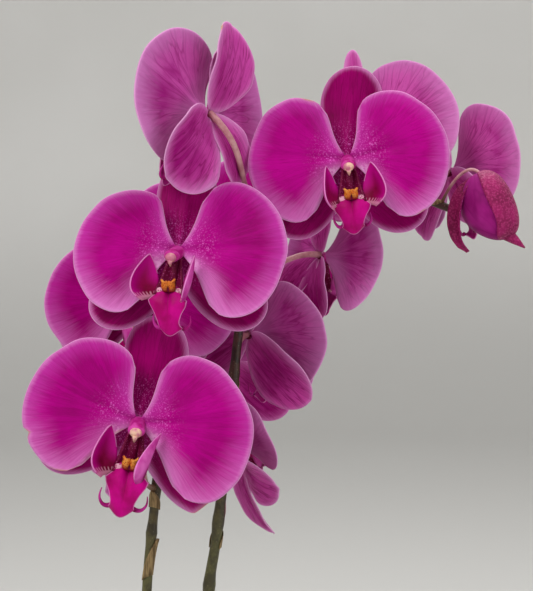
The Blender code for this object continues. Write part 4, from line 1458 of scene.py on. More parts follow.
# %% Finish of the flower stems
stem_olive, tree, shader, place = new_finish("stem_olive", Roughness=0.42, Specular_IOR_Level=0.4)
share = mark(tree, "share")
mottle = grain(tree, place, 190.0, 4.0, 0.6)
specks = band(tree, cells(tree, place, 620.0), 0.22, 0.10)
low_stem = blended(tree, band(tree, mottle, 0.38, 0.62), paint(58, 54, 30), paint(88, 88, 48))
high_stem = blended(tree, band(tree, mottle, 0.38, 0.62), paint(40, 24, 16), paint(70, 44, 34))
body = blended(tree, band(tree, share, 0.50, 0.72), low_stem, high_stem)
body = blended(tree, times(tree, specks, 0.35), body, paint(140, 128, 96))
finish_with(
    tree, shader, Base_Color=body, Roughness=band(tree, mottle, 0.3, 0.7, 0.34, 0.55),
    Normal=raised(tree, mottle, 0.3, 0.3 * MM),
)

bract_dry, tree, shader, place = new_finish("bract_dry", Roughness=0.7, Specular_IOR_Level=0.25)
fibres = grain(tree, scaled(tree, place, (1.0, 1.0, 0.1)), 1500.0)
body = blended(tree, band(tree, fibres, 0.35, 0.65), paint(96, 78, 50), paint(150, 128, 88))
finish_with(tree, shader, Base_Color=body, Normal=raised(tree, fibres, 0.5, 0.2 * MM))
print("stem finishes:", stem_olive.name, bract_dry.name)

# %% [markdown]
# The line of each stem now gets what the tree asks for at every point: its thickness, whether a
# bract sits there, how large and on which side, and which way the stem runs. At a knot with a
# flower the bract lies under the stalk, and the bare knots below take turns from side to side.

# %% Build the flower stems
STEM_ROOT = {"right": (3.5, -4.5, 117), "left": (-3, 4.8, 117)}
BARE_KNOTS = {"right": (0.195, 0.295, 0.395), "left": (0.205, 0.310, 0.411)}
BARE_BRACT_LENGTH = 2.1
BRACT_CLASP = math.radians(118)
STEM_SIDES = 22
RIDGE = 0.35 * MM


def bract_mesh():
    """A pointed scale round a rod of radius 1, its middle on +X, its tip flared under a stalk."""
    def point(a, b):
        u = (b + 1) / 2
        turn = BRACT_CLASP * a * (1 - u**2.2)
        radius = 0.98 + 0.10 * u + 0.55 * u**3 * (1 - np.abs(a))
        height = -3.4 + 3.0 * u - 0.5 * a**2 * (1 - u)
        return radius * np.cos(turn), radius * np.sin(turn), height

    points, a, b = grid(13, 9, point)
    thickness = 0.16 - 0.10 * (b + 1) / 2
    marks = {"dry": np.ones(a.shape)}
    part = blade(points, thickness, np.stack([a, b], -1), marks, (0, 0, 0), (1, 0, 0))
    return joined("bract", [part], ())


def line_object(name, points, marks):
    """An object whose mesh is a line of points with the given values at each."""
    mesh = bpy.data.meshes.new(name)
    mesh.from_pydata(points.tolist(), [(k, k + 1) for k in range(len(points) - 1)], [])
    for label, values in marks.items():
        values = np.array(values, np.float32)
        kind, field = ("FLOAT", "value") if values.ndim == 1 else ("FLOAT_VECTOR", "vector")
        mesh.attributes.new(label, kind, "POINT").data.foreach_set(field, values.ravel())
    line = bpy.data.objects.new(name, mesh)
    bpy.context.scene.collection.objects.link(line)
    return line


def build_flower_stem(name):
    """One flower stem; its root, sunk in the leafy stem, is a point before the route's first."""
    route = np.vstack([np.array(STEM_ROOT[name]) * MM, routes[name]])
    count = len(route)
    shares = np.arange(-1, count - 1) / (count - 2)
    bare = [shares[np.abs(route[:, 2] - height).argmin()] for height in BARE_KNOTS[name]]
    knots = [flower.share for flower in CARRIED[name]]
    radius = [stem_radius(max(0, share), knots + bare) for share in shares]
    side, size, chosen = np.zeros((count, 3)), np.zeros((count, 3)), np.zeros(count)
    for flower in CARRIED[name]:
        target = Vector(flower.centre if hasattr(flower, "centre") else flower.base) * MM
        _, away = seat_on_stem(flower, target)
        k = int(np.abs(shares - flower.share).argmin())
        side[k], chosen[k], size[k] = away, 1, radius[k]
    for number, share in enumerate(bare):
        k = int(np.abs(shares - share).argmin())
        side[k], chosen[k] = (1 - 2 * (number % 2), -0.35, 0), 1
        size[k] = np.array((1, 1, BARE_BRACT_LENGTH)) * radius[k]
    line = line_object(f"{name}_line", route, {
        "thickness": radius, "share": np.clip(shares, 0, 1), "bract": chosen,
        "dry": np.zeros(count), "side": side, "bract_size": size,
        "way": np.gradient(route, axis=0),
    })
    bract = bract_mesh()
    stem = grown(
        f"flower_stem_{name}", line, stem_tree,
        {"Sides": STEM_SIDES, "Ridge": RIDGE, "Bract": bract,
         "Stem finish": stem_olive, "Bract finish": bract_dry},
    )
    bpy.data.objects.remove(bract)
    ready(stem, "flower_stem", f"stem_{name}", f"stem_{name}_arch")


for stem_name in ROUTES:
    build_flower_stem(stem_name)

# %% [markdown]
# The strap leaves are thick and leathery. Their veins run lengthwise, so the finish stretches a
# noise along the leaf's own map. A gloss that changes with soft clouds looks more like wax than an
# even one. The underside is paler with a breath of wine, and the margin is lined with brown.


# %% Finish of the leaves
def leaf_finish(name, deep, fresh, rough, vein):
    """Waxy green from deep to fresh, with lengthwise veins."""
    material, tree, shader, place = new_finish(name, Specular_IOR_Level=0.45)
    across, along = surface_map(tree)
    lengthwise = wire(
        tree, "ShaderNodeCombineXYZ",
        {0: times(tree, across, 34.0), 1: times(tree, along, 2.5), 2: mark(tree, "seed")},
    )
    veins = grain(tree, lengthwise, 1.0, 3.0, 0.55)
    cloud = grain(tree, place, 42.0, 4.0, 0.6)
    colour = blended(tree, band(tree, cloud, 0.34, 0.66), deep, fresh)
    veined = times(tree, band(tree, veins, 0.5, 0.72), 0.35)
    colour = blended(tree, veined, colour, vein)
    middle = band(tree, sums(tree, "ABSOLUTE", across), 0.07, 0.0)
    colour = blended(tree, times(tree, middle, 0.4), colour, vein)
    margin = band(tree, mark(tree, "edge"), 0.0016, 0.0002)
    colour = blended(tree, times(tree, margin, 0.5), colour, paint(92, 62, 50))
    pores = grain(tree, place, 2400.0, 1.0)
    height = sums(tree, "ADD", veins, times(tree, pores, 0.25))
    finish_with(
        tree, shader, Base_Color=colour,
        Roughness=band(tree, cloud, 0.3, 0.7, rough, rough + 0.14),
        Normal=raised(tree, height, 0.25, 0.35 * MM),
    )
    return material


leaf_top = leaf_finish("leaf_top", paint(38, 70, 30), paint(60, 98, 42), 0.28, paint(84, 122, 62))
leaf_under = leaf_finish(
    "leaf_under", paint(92, 98, 62), paint(112, 104, 76), 0.42, paint(130, 134, 92),
)
print("leaf finishes:", leaf_top.name, leaf_under.name)

# %% [markdown]
# Six leaves stand in two rows, the lowest the longest, each with a groove along its midrib. The
# table gives the turn round the stem, the size, and how steeply a leaf rises at its foot and falls
# at its tip. A bend modifier could curve a flat leaf. Stepping along an arc whose angle falls from
# foot to tip keeps the leaf's true length.

# %% Build the leaves
Leaf = namedtuple("Leaf", "name turn length width rise droop foot")
LEAVES = (
    Leaf("leaf_right_outer", 16, 212 * MM, 66 * MM, 30, -32, 6 * MM),
    Leaf("leaf_left_outer", 198, 202 * MM, 64 * MM, 31, -30, 9 * MM),
    Leaf("leaf_right_middle", 2, 178 * MM, 62 * MM, 50, -8, 15 * MM),
    Leaf("leaf_left_middle", 184, 168 * MM, 60 * MM, 52, -4, 18 * MM),
    Leaf("leaf_right_inner", 22, 118 * MM, 46 * MM, 68, 30, 25 * MM),
    Leaf("leaf_left_inner", 206, 92 * MM, 40 * MM, 74, 46, 29 * MM),
)
CROWN_FOOT = 109.3 * MM
CROWN_HEIGHT = 36 * MM
CROWN_RADIUS_LOW = 12 * MM
CROWN_RADIUS_TOP = 7 * MM
LEAF_THICKNESS = 2.0 * MM
LEAF_FOOT_WIDTH = 0.26
LEAF_WIDEST = 0.45
LEAF_KEEL = 0.30
LEAF_GRID = (64, 25)
LEAF_STEPS = 60
LEAF_SUNK = 5 * MM
LEAF_SEED = 300
GROOVE_DEPTH = 0.9 * MM
GROOVE_WIDTH = 1.6 * MM
LEAF_WAVE = 0.8 * MM


def crown_radius(height):
    """The radius of the leafy stem, which the leaves grow from."""
    share = (height - CROWN_FOOT) / CROWN_HEIGHT
    return CROWN_RADIUS_LOW + (CROWN_RADIUS_TOP - CROWN_RADIUS_LOW) * share


def leaf_width(share):
    """Half the leaf's width at a share of its length, against half of its greatest width."""
    foot = LEAF_FOOT_WIDTH + (1 - LEAF_FOOT_WIDTH) * np.minimum(1, share / LEAF_WIDEST) ** 1.1
    past = np.maximum(0, (share - LEAF_WIDEST) / (1 - LEAF_WIDEST))
    return foot * np.sqrt(np.maximum(0, 1 - past**2.6))


def build_leaf(leaf, seed):
    """One strap leaf; out and up are the arc's points, a little inside the leafy stem at first."""
    dice = random.Random(seed)
    wave = waves(dice, 4)
    foot_height = CROWN_FOOT + leaf.foot
    start = crown_radius(foot_height) - LEAF_SUNK
    steps = np.arange(LEAF_STEPS)
    angle = np.radians(leaf.rise + (leaf.droop - leaf.rise) * ((steps + 0.5) / LEAF_STEPS) ** 0.9)
    stride = (leaf.length + LEAF_SUNK) / LEAF_STEPS
    out = np.concatenate([[start], start + stride * np.cumsum(np.cos(angle))])
    up = np.concatenate([[foot_height], foot_height + stride * np.cumsum(np.sin(angle))])
    turn = math.radians(leaf.turn)

    def point(a, b):
        share = np.sin((a + 1) * math.pi / 4) ** 1.15
        along = np.interp(share * LEAF_STEPS, range(LEAF_STEPS + 1), out)
        height = np.interp(share * LEAF_STEPS, range(LEAF_STEPS + 1), up)
        bend = np.interp(share * LEAF_STEPS, steps, angle)
        across = b * leaf.width / 2 * leaf_width(np.minimum(share, 0.9995))
        lift = LEAF_KEEL * (1 - 0.75 * share) * np.abs(across)
        lift = lift - GROOVE_DEPTH * bump(across, 0, GROOVE_WIDTH) * (1 - 0.6 * share)
        lift = lift + LEAF_WAVE * wave(5 * share + b) * b * b
        along = along - lift * np.sin(bend)
        height = height + lift * np.cos(bend)
        return (
            along * math.cos(turn) - across * math.sin(turn),
            along * math.sin(turn) + across * math.cos(turn),
            height,
        )

    points, a, b = grid(*LEAF_GRID, point)
    edge = margin_distance(points, [points[20:, 0], points[20:, -1], points[-1]])
    share = (a + 1) / 2
    thickness = LEAF_THICKNESS * (0.45 + 0.75 * (1 - np.abs(b) ** 2)) * (1.25 - 0.5 * share)
    marks = {"edge": edge, "seed": np.full(a.shape, dice.uniform(0, SEED_RANGE))}
    part = blade(points, thickness, np.stack([b, share], -1), marks, (0, 1, 0), (0, 0, 1))
    made = joined(f"strap_{leaf.name}", [part], (leaf_top, leaf_under))
    ready(made, "leaf", leaf.name)


for number, leaf in enumerate(LEAVES):
    build_leaf(leaf, LEAF_SEED + number)

# %% [markdown]
# The foot of each leaf wraps the short stem in a sheath that overlaps the next one. One grid bent
# round the stem makes a sheath, open on the side away from its leaf and drawn out towards it at
# the top. Six of them hide the plain core.

# %% Build the leafy stem
SHEATH_LOW = 13 * MM
SHEATH_TOP = 5 * MM
SHEATH_THICKNESS = 1.1 * MM
SHEATH_FLARE = 4.5 * MM
SHEATH_SEED_STEP = 7.0
CORE_FOOT = CROWN_FOOT - 2 * MM
CORE_STEPS = 12
CORE_SIDES = 32


def sheath(leaf, number):
    """The foot of a leaf: it clasps the stem below and opens towards the leaf above."""
    turn = math.radians(leaf.turn)

    def point(a, b):
        u = (b + 1) / 2
        height = CROWN_FOOT + leaf.foot - SHEATH_LOW + (SHEATH_LOW + SHEATH_TOP) * u
        height = np.maximum(height, CORE_FOOT) - 4 * MM * np.abs(a) ** 3 * u
        around = turn + a * np.radians(168 - 78 * u**1.5)
        radius = crown_radius(height) + (0.4 + 0.25 * (number % 2)) * MM
        radius = radius + SHEATH_FLARE * u**3 * (1 - a * a)
        return radius * np.cos(around), radius * np.sin(around), height

    points, a, b = grid(29, 15, point)
    edge = margin_distance(points, [points[:, -1]])
    thickness = SHEATH_THICKNESS * (0.35 + 0.65 * (1 - np.abs(a) ** 3))
    marks = {"edge": edge, "seed": np.full(a.shape, SHEATH_SEED_STEP * number)}
    facing = (math.cos(turn), math.sin(turn), 0)
    return blade(points, thickness, np.stack([a, (b + 1) / 2], -1), marks, (0, 0, 0), facing)


leafy_green = leaf_finish(
    "leafy_green", paint(84, 100, 50), paint(112, 126, 68), 0.4, paint(140, 148, 96),
)
core_heights = np.linspace(CORE_FOOT, CROWN_FOOT + CROWN_HEIGHT, CORE_STEPS)
core_radii = 0.97 * crown_radius(core_heights)
core_radii[-1] = 0.6 * crown_radius(core_heights[-1])
core = tube([(0, 0, height) for height in core_heights], core_radii, CORE_SIDES, 0)
sheaths = [sheath(leaf, number) for number, leaf in enumerate(LEAVES)]
leafy = joined("leafy_stem_sheaths", [core, *sheaths], (leafy_green,))
ready(leafy, "leafy_stem", "leafy_stem")

# %% [markdown]
# The pot is thrown clay: a foot ring, a sloping wall and a rolled rim. A Screw modifier could turn
# the profile. Here rings of points are stacked instead, because then a mark can say how bare each
# ring is. Every corner of the profile is rounded by a short curve.

# %% Shape of the pot
POT_HEIGHT = 120 * MM
POT_FOOT_RADIUS = 48 * MM
POT_RIM_RADIUS = 66 * MM
POT_WALL = 4.5 * MM
POT_FLOOR = 6 * MM
POT_FLOOR_RADIUS = POT_FOOT_RADIUS - POT_WALL + 2 * MM
RIM_BEAD = 2.5 * MM
POT_SIDES = 128
POT_SPACING = 5 * MM
CORNER_REACH = 2.0 * MM
MIDDLE_HOLE = 2 * MM
FOOT_RING_HEIGHT = 2.5 * MM
FOOT_RING_HOLLOW = 1.2 * MM
RIM_GLAZE_REACH = 1.2 * MM


def rounded(profile, reach, steps=6):
    """The profile with each inner corner replaced by a short curve."""
    made = [profile[0]]
    for before, corner, after in zip(profile, profile[1:], profile[2:]):
        before, corner, after = (np.array(p, float) for p in (before, corner, after))
        back, ahead = before - corner, after - corner
        start = corner + back * min(0.45, reach / np.linalg.norm(back))
        end = corner + ahead * min(0.45, reach / np.linalg.norm(ahead))
        for t in np.linspace(0, 1, steps):
            made.append(tuple((1 - t) ** 2 * start + 2 * t * (1 - t) * corner + t**2 * end))
    return [*made, profile[-1]]


def spaced(profile, spacing):
    """The profile with extra points, none further apart than the spacing."""
    made = [np.array(profile[0], float)]
    for corner in profile[1:]:
        corner = np.array(corner, float)
        gap = corner - made[-1]
        count = max(1, math.ceil(np.linalg.norm(gap) / spacing))
        made += [made[-1] + gap * k / count for k in range(1, count + 1)]
    return made


def thrown(profile, sides):
    """A closed part turned from a profile of radii and heights, as on a potter's wheel."""
    turns = np.arange(sides) * 2 * math.pi / sides
    loops = [
        np.stack([radius * np.cos(turns), radius * np.sin(turns), np.full(sides, height)], -1)
        for radius, height in profile
    ]
    return rings(loops, 0)


pot_profile = [
    (MIDDLE_HOLE, FOOT_RING_HOLLOW), (POT_FOOT_RADIUS - 8 * MM, FOOT_RING_HOLLOW),
    (POT_FOOT_RADIUS - 6.5 * MM, 0), (POT_FOOT_RADIUS - 1.2 * MM, 0),
    (POT_FOOT_RADIUS + 0.3 * MM, 4 * MM),
    (POT_RIM_RADIUS - RIM_BEAD / 2, POT_HEIGHT - 4.2 * RIM_BEAD),
    (POT_RIM_RADIUS + RIM_BEAD / 2, POT_HEIGHT - 3 * RIM_BEAD),
    (POT_RIM_RADIUS + RIM_BEAD / 2, POT_HEIGHT), (POT_RIM_RADIUS - POT_WALL, POT_HEIGHT),
    (POT_FLOOR_RADIUS, POT_FLOOR), (MIDDLE_HOLE, POT_FLOOR),
]
pot_part = thrown(spaced(rounded(pot_profile, CORNER_REACH), POT_SPACING), POT_SIDES)
heights = pot_part.points[:, 2]
bare = np.clip((FOOT_RING_HEIGHT - heights) / (0.4 * MM) + 0.5, 0, 1)
rim = np.clip((heights - POT_HEIGHT + RIM_GLAZE_REACH) / RIM_GLAZE_REACH, 0, 1)
pot_part = pot_part._replace(marks={"bare": bare, "rim": rim})
print("pot faces:", len(pot_part.faces))

# %% [markdown]
# The glaze is off-white and a little uneven, with a few iron specks. It is thinner and darker on
# the rim, and the foot ring is left bare, as a potter wipes it. A coat over the base gives the
# glassy shine, and a noise stretched round the pot leaves faint marks of the wheel.

# %% Glaze and build the pot
glaze, tree, shader, place = new_finish(
    "pot_glaze", Specular_IOR_Level=0.5, Coat_Weight=0.4, Coat_Roughness=0.08,
)
cloud = grain(tree, place, 22.0, 4.0, 0.55)
body = blended(tree, band(tree, cloud, 0.32, 0.68), paint(226, 222, 212), paint(240, 238, 231))
specks = band(tree, cells(tree, place, 210.0), 0.10, 0.05)
body = blended(tree, times(tree, specks, 0.55), body, paint(120, 96, 70))
body = blended(tree, times(tree, mark(tree, "rim"), 0.45), body, paint(186, 168, 140))
gritty = band(tree, grain(tree, place, 520.0, 3.0), 0.35, 0.65)
clay = blended(tree, gritty, paint(178, 152, 124), paint(200, 178, 150))
bare = band(tree, sums(tree, "ADD", mark(tree, "bare"), times(tree, cloud, 0.3)), 0.55, 0.75)
dull = sums(tree, "ADD", band(tree, cloud, 0.3, 0.7, 0.14, 0.24), times(tree, bare, 0.6))
wheel_marks = grain(tree, scaled(tree, place, (0.05, 0.05, 1.0)), 320.0, 2.0)
finish_with(
    tree, shader, Base_Color=blended(tree, bare, body, clay), Roughness=dull,
    Normal=raised(tree, wheel_marks, 0.12, 0.5 * MM),
)
pot = joined("glazed_pot", [pot_part], (glaze,))
ready(pot, "pot", "pot")

# %% [markdown]
# Orchids are potted in chips of bark. A chip is a rough ball, flattened and squared. A few kinds
# are enough, since each is turned and scaled anew where it lies.

# %% Chips of bark
CHIP_KINDS = 5
CHIP_SIZE = (7.5 * MM, 4.6 * MM, 2.3 * MM)
CHIP_SEED = 900


def chip_mesh(number):
    """A flat broken chip: a rough ball with its corners pushed about and its sides squared."""
    dice = random.Random(CHIP_SEED + number)
    part = ball((0, 0, 0), (1, 1, 1), 0, 5, 0)
    shaped = []
    for corner in part.points:
        squared = np.sign(corner) * np.abs(corner) ** 0.6
        shaped.append(squared * [dice.uniform(0.75, 1.15) for _ in range(3)] * np.array(CHIP_SIZE))
    chip = joined(f"chip_{number}", [part._replace(points=np.array(shaped))], ())
    chip.data.shade_flat()
    return chip


chips = bpy.data.collections.new("chips")
bpy.context.scene.collection.children.link(chips)
for number in range(CHIP_KINDS):
    chip = chip_mesh(number)
    bpy.context.scene.collection.objects.unlink(chip)
    chips.objects.link(chip)

# %% [markdown]
# Every chip could be placed by hand, but hundreds lie in a pot, so Geometry Nodes scatter them:
# points on the open top of the fill, one chip on each, turned and scaled by chance with fixed
# seeds, and a tint that each chip keeps.


# %% A node tree for scattered bark
def chance(tree, low, high, seed, kind="FLOAT"):
    """A random value of its own for each chip, from low to high."""
    sockets = {"FLOAT": (2, 3, 1), "FLOAT_VECTOR": (0, 1, 0), "INT": (4, 5, 2)}[kind]
    node = tree.nodes.new("FunctionNodeRandomValue")
    node.data_type = kind
    node.inputs[sockets[0]].default_value = low
    node.inputs[sockets[1]].default_value = high
    node.inputs["Seed"].default_value = seed
    return node.outputs[sockets[2]]


bark_tree, given = group(
    "scattered_bark",
    {"Top": "Geometry", "Chips": "Collection", "Density": "Float", "Seed": "Int",
     "Finish": "Material"},
)
points = wire(
    bark_tree, "GeometryNodeDistributePointsOnFaces",
    {"Mesh": given["Top"], "Density": given["Density"], "Seed": given["Seed"],
     "Selection": named(bark_tree, "open")},
)
kinds = wire(
    bark_tree, "GeometryNodeCollectionInfo",
    {"Collection": given["Chips"], "Separate Children": True, "Reset Children": True},
)
tumble = wire(
    bark_tree, "FunctionNodeEulerToRotation",
    {"Euler": chance(bark_tree, (-0.55, -0.45, 0), (0.55, 0.45, 6.28), 3, "FLOAT_VECTOR")},
)
scattered = wire(
    bark_tree, "GeometryNodeInstanceOnPoints",
    {"Points": points, "Instance": kinds, "Pick Instance": True,
     "Instance Index": chance(bark_tree, 0, CHIP_KINDS - 1, 5, "INT"), "Rotation": tumble,
     "Scale": chance(bark_tree, (0.7, 0.7, 0.8), (1.3, 1.3, 1.4), 8, "FLOAT_VECTOR")},
)
scattered = wire(
    bark_tree, "GeometryNodeStoreNamedAttribute",
    {"Geometry": scattered, "Name": "tint", "Value": chance(bark_tree, 0.0, 1.0, 11)},
    data_type="FLOAT", domain="INSTANCE",
)
both = bark_tree.nodes.new("GeometryNodeJoinGeometry")
bark_tree.links.new(scattered, both.inputs[0])
bark_tree.links.new(given["Top"], both.inputs[0])
solid = wire(bark_tree, "GeometryNodeRealizeInstances", {"Geometry": both.outputs[0]})
closing(bark_tree, wire(
    bark_tree, "GeometryNodeSetMaterial", {"Geometry": solid, "Material": given["Finish"]},
))
print("bark tree nodes:", len(bark_tree.nodes))

# %% [markdown]
# Bark is matt and fibrous, so the noise in its finish is stretched, and the tint gives each chip a
# brown of its own. The fill below is one plug, turned like the pot, because it never shows.

# %% Fill the pot with bark
BARK_TOP = 106 * MM
BARK_CROWN = 3 * MM
BARK_GAP = 0.3 * MM
CHIP_RADIUS = 51 * MM
CHIP_DENSITY = 52000.0
SCATTER_SEED = 4
PLUG_SIDES = 64
PLUG_SPACING = 6 * MM
PLUG_TINT = 0.2


def bark_radius(height):
    """The radius of the bark where it meets the pot's sloping inner wall."""
    rim_radius = POT_RIM_RADIUS - POT_WALL
    share = (height - POT_FLOOR) / (POT_HEIGHT - RIM_BEAD / 2 - POT_FLOOR)
    return POT_FLOOR_RADIUS + (rim_radius - POT_FLOOR_RADIUS) * share - 1.5 * BARK_GAP


bark_brown, tree, shader, place = new_finish("bark_brown", Roughness=0.88, Specular_IOR_Level=0.25)
rough = grain(tree, scaled(tree, place, (1.0, 0.25, 1.0)), 420.0, 5.0, 0.65)
body = blended(tree, mark(tree, "tint"), paint(66, 42, 28), paint(142, 98, 62))
body = blended(tree, band(tree, rough, 0.42, 0.66), body, paint(46, 28, 20))
pale = band(tree, grain(tree, place, 95.0, 3.0), 0.58, 0.70)
body = blended(tree, times(tree, pale, 0.4), body, paint(172, 132, 92))
finish_with(tree, shader, Base_Color=body, Normal=raised(tree, rough, 0.8, 0.8 * MM))

plug_low = POT_FLOOR + BARK_GAP
plug_top = BARK_TOP + BARK_CROWN - 0.4 * MM
plug_profile = [
    (MIDDLE_HOLE, plug_low), (bark_radius(plug_low), plug_low), (bark_radius(BARK_TOP), BARK_TOP),
    (CHIP_RADIUS, BARK_TOP + 1 * MM), (20 * MM, plug_top), (MIDDLE_HOLE, plug_top),
]
plug = thrown(spaced(plug_profile, PLUG_SPACING), PLUG_SIDES)
reach = np.hypot(plug.points[:, 0], plug.points[:, 1])
open_top = (plug.points[:, 2] > BARK_TOP + 0.5 * MM) & (reach < 1.02 * CHIP_RADIUS)
tint = np.full(len(reach), PLUG_TINT)
plug = plug._replace(marks={"open": open_top.astype(float), "tint": tint})
bark = grown(
    "bark_chips", joined("bark_plug", [plug], ()), bark_tree,
    {"Chips": chips, "Density": CHIP_DENSITY, "Seed": SCATTER_SEED, "Finish": bark_brown},
)
for chip in list(chips.objects):
    bpy.data.objects.remove(chip)
bpy.data.collections.remove(chips)
ready(bark, "bark", "bark")

# %% [markdown]
# The skin of a bud is pebbled and duller than a petal. A pattern of soft cells makes the pebbles and
# raises them too, and a painted highlight lightens the top of each pebble. The petals inside the
# opening bud have the finish of a petal.

# %% Finish of the buds
bud_skin, tree, shader, place = new_finish(
    "bud_skin", Roughness=0.5, Specular_IOR_Level=0.25, Sheen_Weight=0.04, Sheen_Tint=paint(255, 150, 205),
)
pebbles = cells(tree, place, 1150.0, "SMOOTH_F1")
cloud = grain(tree, place, 85.0, 3.0)
body = blended(tree, band(tree, cloud, 0.34, 0.66), paint(122, 2, 68), paint(156, 12, 94))
# The lighter top of each pebble is a painted highlight.
body = blended(tree, band(tree, pebbles, 0.55, 0.15, 0.0, 0.50), body, paint(192, 52, 124))
finish_with(
    tree, shader, Base_Color=body, Roughness=band(tree, pebbles, 0.1, 0.6, 0.42, 0.62),
    Normal=raised(tree, sums(tree, "SUBTRACT", 1.0, pebbles), 0.7, 0.45 * MM),
)
bud_inner = blade_finish("bud_inner", Blade(
    deep=paint(132, 4, 98), bright=paint(176, 44, 142), wash=paint(170, 60, 150),
    vein=paint(100, 0, 70), vein_share=0.35, wash_width=0.1, wash_share=0.3, freckles=0, flash=0,
    count=5,
))
BUD_MATERIALS = (bud_skin, bud_inner, stalk_pink, sepal_front)
print("bud finishes:", bud_skin.name, bud_inner.name)

# %% [markdown]
# A closed bud is an egg with three shallow furrows, where its sepals meet. Rings of points along
# its axis make it, as for the stalks. The three numbers of its form set where it is widest, how
# full its ends are and how much it narrows.

# %% Shape of a bud
CLOSED_FORM = (0.72, 0.75, 0.25)
BUD_SIDES = 40
BUD_RINGS = 34


def bud_frame(base, tip):
    """A turn whose z runs along the bud and whose x faces the front, and the bud's length."""
    axis = (tip - base).normalized()
    front = Vector((0, -1, 0))
    front = (front - front.dot(axis) * axis).normalized()
    return np.array(Matrix((front, axis.cross(front), axis)).transposed()), (tip - base).length


def bud_girth(share, form):
    """The bud's radius at a share of its length, against its greatest."""
    return np.sin(math.pi * share ** form[0]) ** form[1] * (1 - form[2] * share)


def bud_egg(radius, base, tip, slot, form=CLOSED_FORM, furrow=0.09, bow=0.0):
    """The body of a bud from its base to its tip; the bow bends it to one side."""
    turn, length = bud_frame(base, tip)
    angle = np.arange(BUD_SIDES) * 2 * math.pi / BUD_SIDES
    dented = 1 - furrow * np.abs(np.cos(1.5 * angle)) ** 10
    loops = []
    for share in (1 - np.cos(np.linspace(0.10, math.pi - 0.05, BUD_RINGS))) / 2:
        wide = radius * MM * bud_girth(share, form) * dented
        across = wide * np.sin(angle) + bow * math.sin(math.pi * share)
        flat = np.stack([wide * np.cos(angle), across, np.full(BUD_SIDES, share * length)], -1)
        loops.append(flat @ turn.T + np.array(base))
    return rings(loops, slot)


print("girth of a closed bud half way:", round(bud_girth(0.5, CLOSED_FORM), 2))

# %% [markdown]
# The large bud by the end of the arch is just opening: one sepal has let go and hangs beside it,
# another is still a hood round the petals and ends in a beak. Both sepals are blades, because
# their edges and their inner sides show.

# %% Parts of the opening bud
OPENING_FORM = (0.95, 0.42, 0.06)
OPENING_BASE = (127.5, -9, 572)
OPENING_TIP = (140.3, -14, 544.5)
OPENING_RADIUS = 11.4
OPENING_BOW = 2.4 * MM
HOOD_SCALE = 1.05
HOOD_BACK = math.radians(-185)
SEAM_TURN = math.radians(2)
SEAM_OPENING = math.radians(85)
BEAK_LINE = ((135.5, -13, 549.5), (140.2, -14, 545.8), (144, -14.6, 542.8), (147.2, -15, 540.2))
BEAK_RADII = (3.4, 3.1, 1.9, 0.3)
BUD_SEPAL_THICKNESS = 0.9 * MM
PEELED_FOLD = 1.25
PEELED_LINE = (
    (127.0, -10, 571.5), (124.9, -11.5, 568.6), (121.5, -13, 564.4), (119.5, -13.5, 559.2),
    (118.5, -13.5, 553.5), (118.6, -13.5, 548.1), (120.1, -13, 542.8), (123.6, -12.5, 538.7),
)
PEELED_HALF_WIDTH = 4.4 * MM


def hood(radius, base, tip):
    """The sepal that still clasps the opening bud: it covers all but what its seam leaves free."""
    turn, length = bud_frame(base, tip)

    def point(a, b):
        share = 0.02 + 0.96 * (b + 1) / 2
        seam = SEAM_TURN + SEAM_OPENING * share**10
        angle = HOOD_BACK + (seam - HOOD_BACK) * (a + 1) / 2
        lifted = 1 + 0.03 * np.abs(a) ** 8
        wide = HOOD_SCALE * radius * MM * bud_girth(share, OPENING_FORM) * lifted
        across = wide * np.sin(angle) + OPENING_BOW * np.sin(math.pi * share)
        return wide * np.cos(angle), across, share * length

    points, a, b = grid(40, 30, point)
    points = points @ turn.T + np.array(base)
    normal = turn @ np.array((0.3, -1.0, 0))
    thickness = np.full(a.shape, BUD_SEPAL_THICKNESS)
    return blade(points, thickness, np.stack([a, b], -1), {}, (0, 0, 0), normal)


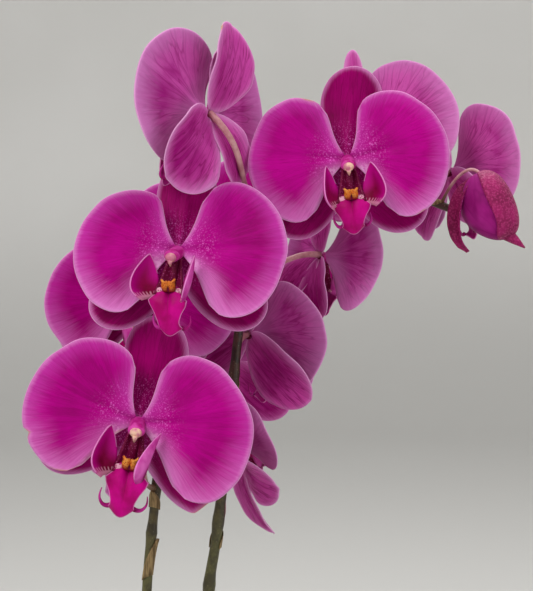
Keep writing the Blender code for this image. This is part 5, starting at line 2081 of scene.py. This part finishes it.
def peeled_sepal():
    """The sepal that has let go, hanging in a curve with its hollow side towards the bud."""
    line = smooth_route(np.array(PEELED_LINE) * MM, 1.0 * MM)
    count = len(line)
    way = np.gradient(line, axis=0)
    way /= np.linalg.norm(way, axis=1, keepdims=True)
    side = np.cross(way, (-0.9, 1.0, 0))
    side /= np.linalg.norm(side, axis=1, keepdims=True)
    across = np.cross(way, side)

    def point(a, b):
        place = (b + 1) / 2 * (count - 1)
        k = np.minimum(place.astype(int), count - 1)
        u = place / (count - 1)
        half = PEELED_HALF_WIDTH * np.sin(math.pi * np.clip(0.04 + 0.92 * u, 0, 1) ** 1.1) ** 0.75
        fold = PEELED_FOLD * a
        flat = half * np.sin(fold) / PEELED_FOLD
        cup = half * (1 - np.cos(fold)) / PEELED_FOLD
        bent = line[k] + across[k] * flat[..., None] - side[k] * cup[..., None]
        return bent[..., 0], bent[..., 1], bent[..., 2]

    points, a, b = grid(15, 30, point)
    thickness = BUD_SEPAL_THICKNESS * (0.5 + 0.5 * (1 - a * a))
    return blade(points, thickness, np.stack([a, b], -1), {}, (0, 3, 0), (-1, -0.8, 0))


print("opening bud in mm:", round((Vector(OPENING_TIP) - Vector(OPENING_BASE)).length, 1))

# %% [markdown]
# Each bud hangs on a stalk like a bloom's, but thinner, which ends inside the bud. A closed bud is
# its egg alone. The opening one gets its egg of petals, hood, peeled sepal and beak.

# %% Build the buds
BUD_STALK_RADIUS = 0.7 * MM
BUD_STALK_SUNK = 0.35
BEAK_SIDES = 12


def bud_stalk(bud, base, tip):
    """The stalk from the flower stem into the foot of the bud."""
    inward = (tip - base).normalized()
    seat, away = seat_on_stem(bud, base)
    end = base + inward * bud.radius * BUD_STALK_SUNK * MM
    return stalk(seat, away, end, -inward, 2, radius=BUD_STALK_RADIUS)


def build_bud(bud):
    """One bud with its stalk, as a piece of its own."""
    base, tip = Vector(bud.base) * MM, Vector(bud.tip) * MM
    parts = [bud_stalk(bud, base, tip)]
    if bud.name == "bud_opening":
        base, tip = Vector(OPENING_BASE) * MM, Vector(OPENING_TIP) * MM
        parts.append(bud_egg(OPENING_RADIUS, base, tip, 1, OPENING_FORM, 0.02, OPENING_BOW))
        parts += [hood(OPENING_RADIUS, base, tip), peeled_sepal()]
        beak = smooth_route(np.array(BEAK_LINE) * MM, 1 * MM)
        radii = np.interp(np.linspace(0, 3, len(beak)), range(4), BEAK_RADII)
        parts.append(tube(beak, radii * MM, BEAK_SIDES, 0))
    else:
        parts.append(bud_egg(bud.radius, base, tip, 0))
    ready(joined(f"flower_{bud.name}", parts, BUD_MATERIALS), "bud", bud.name)


for bud in BUDS:
    build_bud(bud)
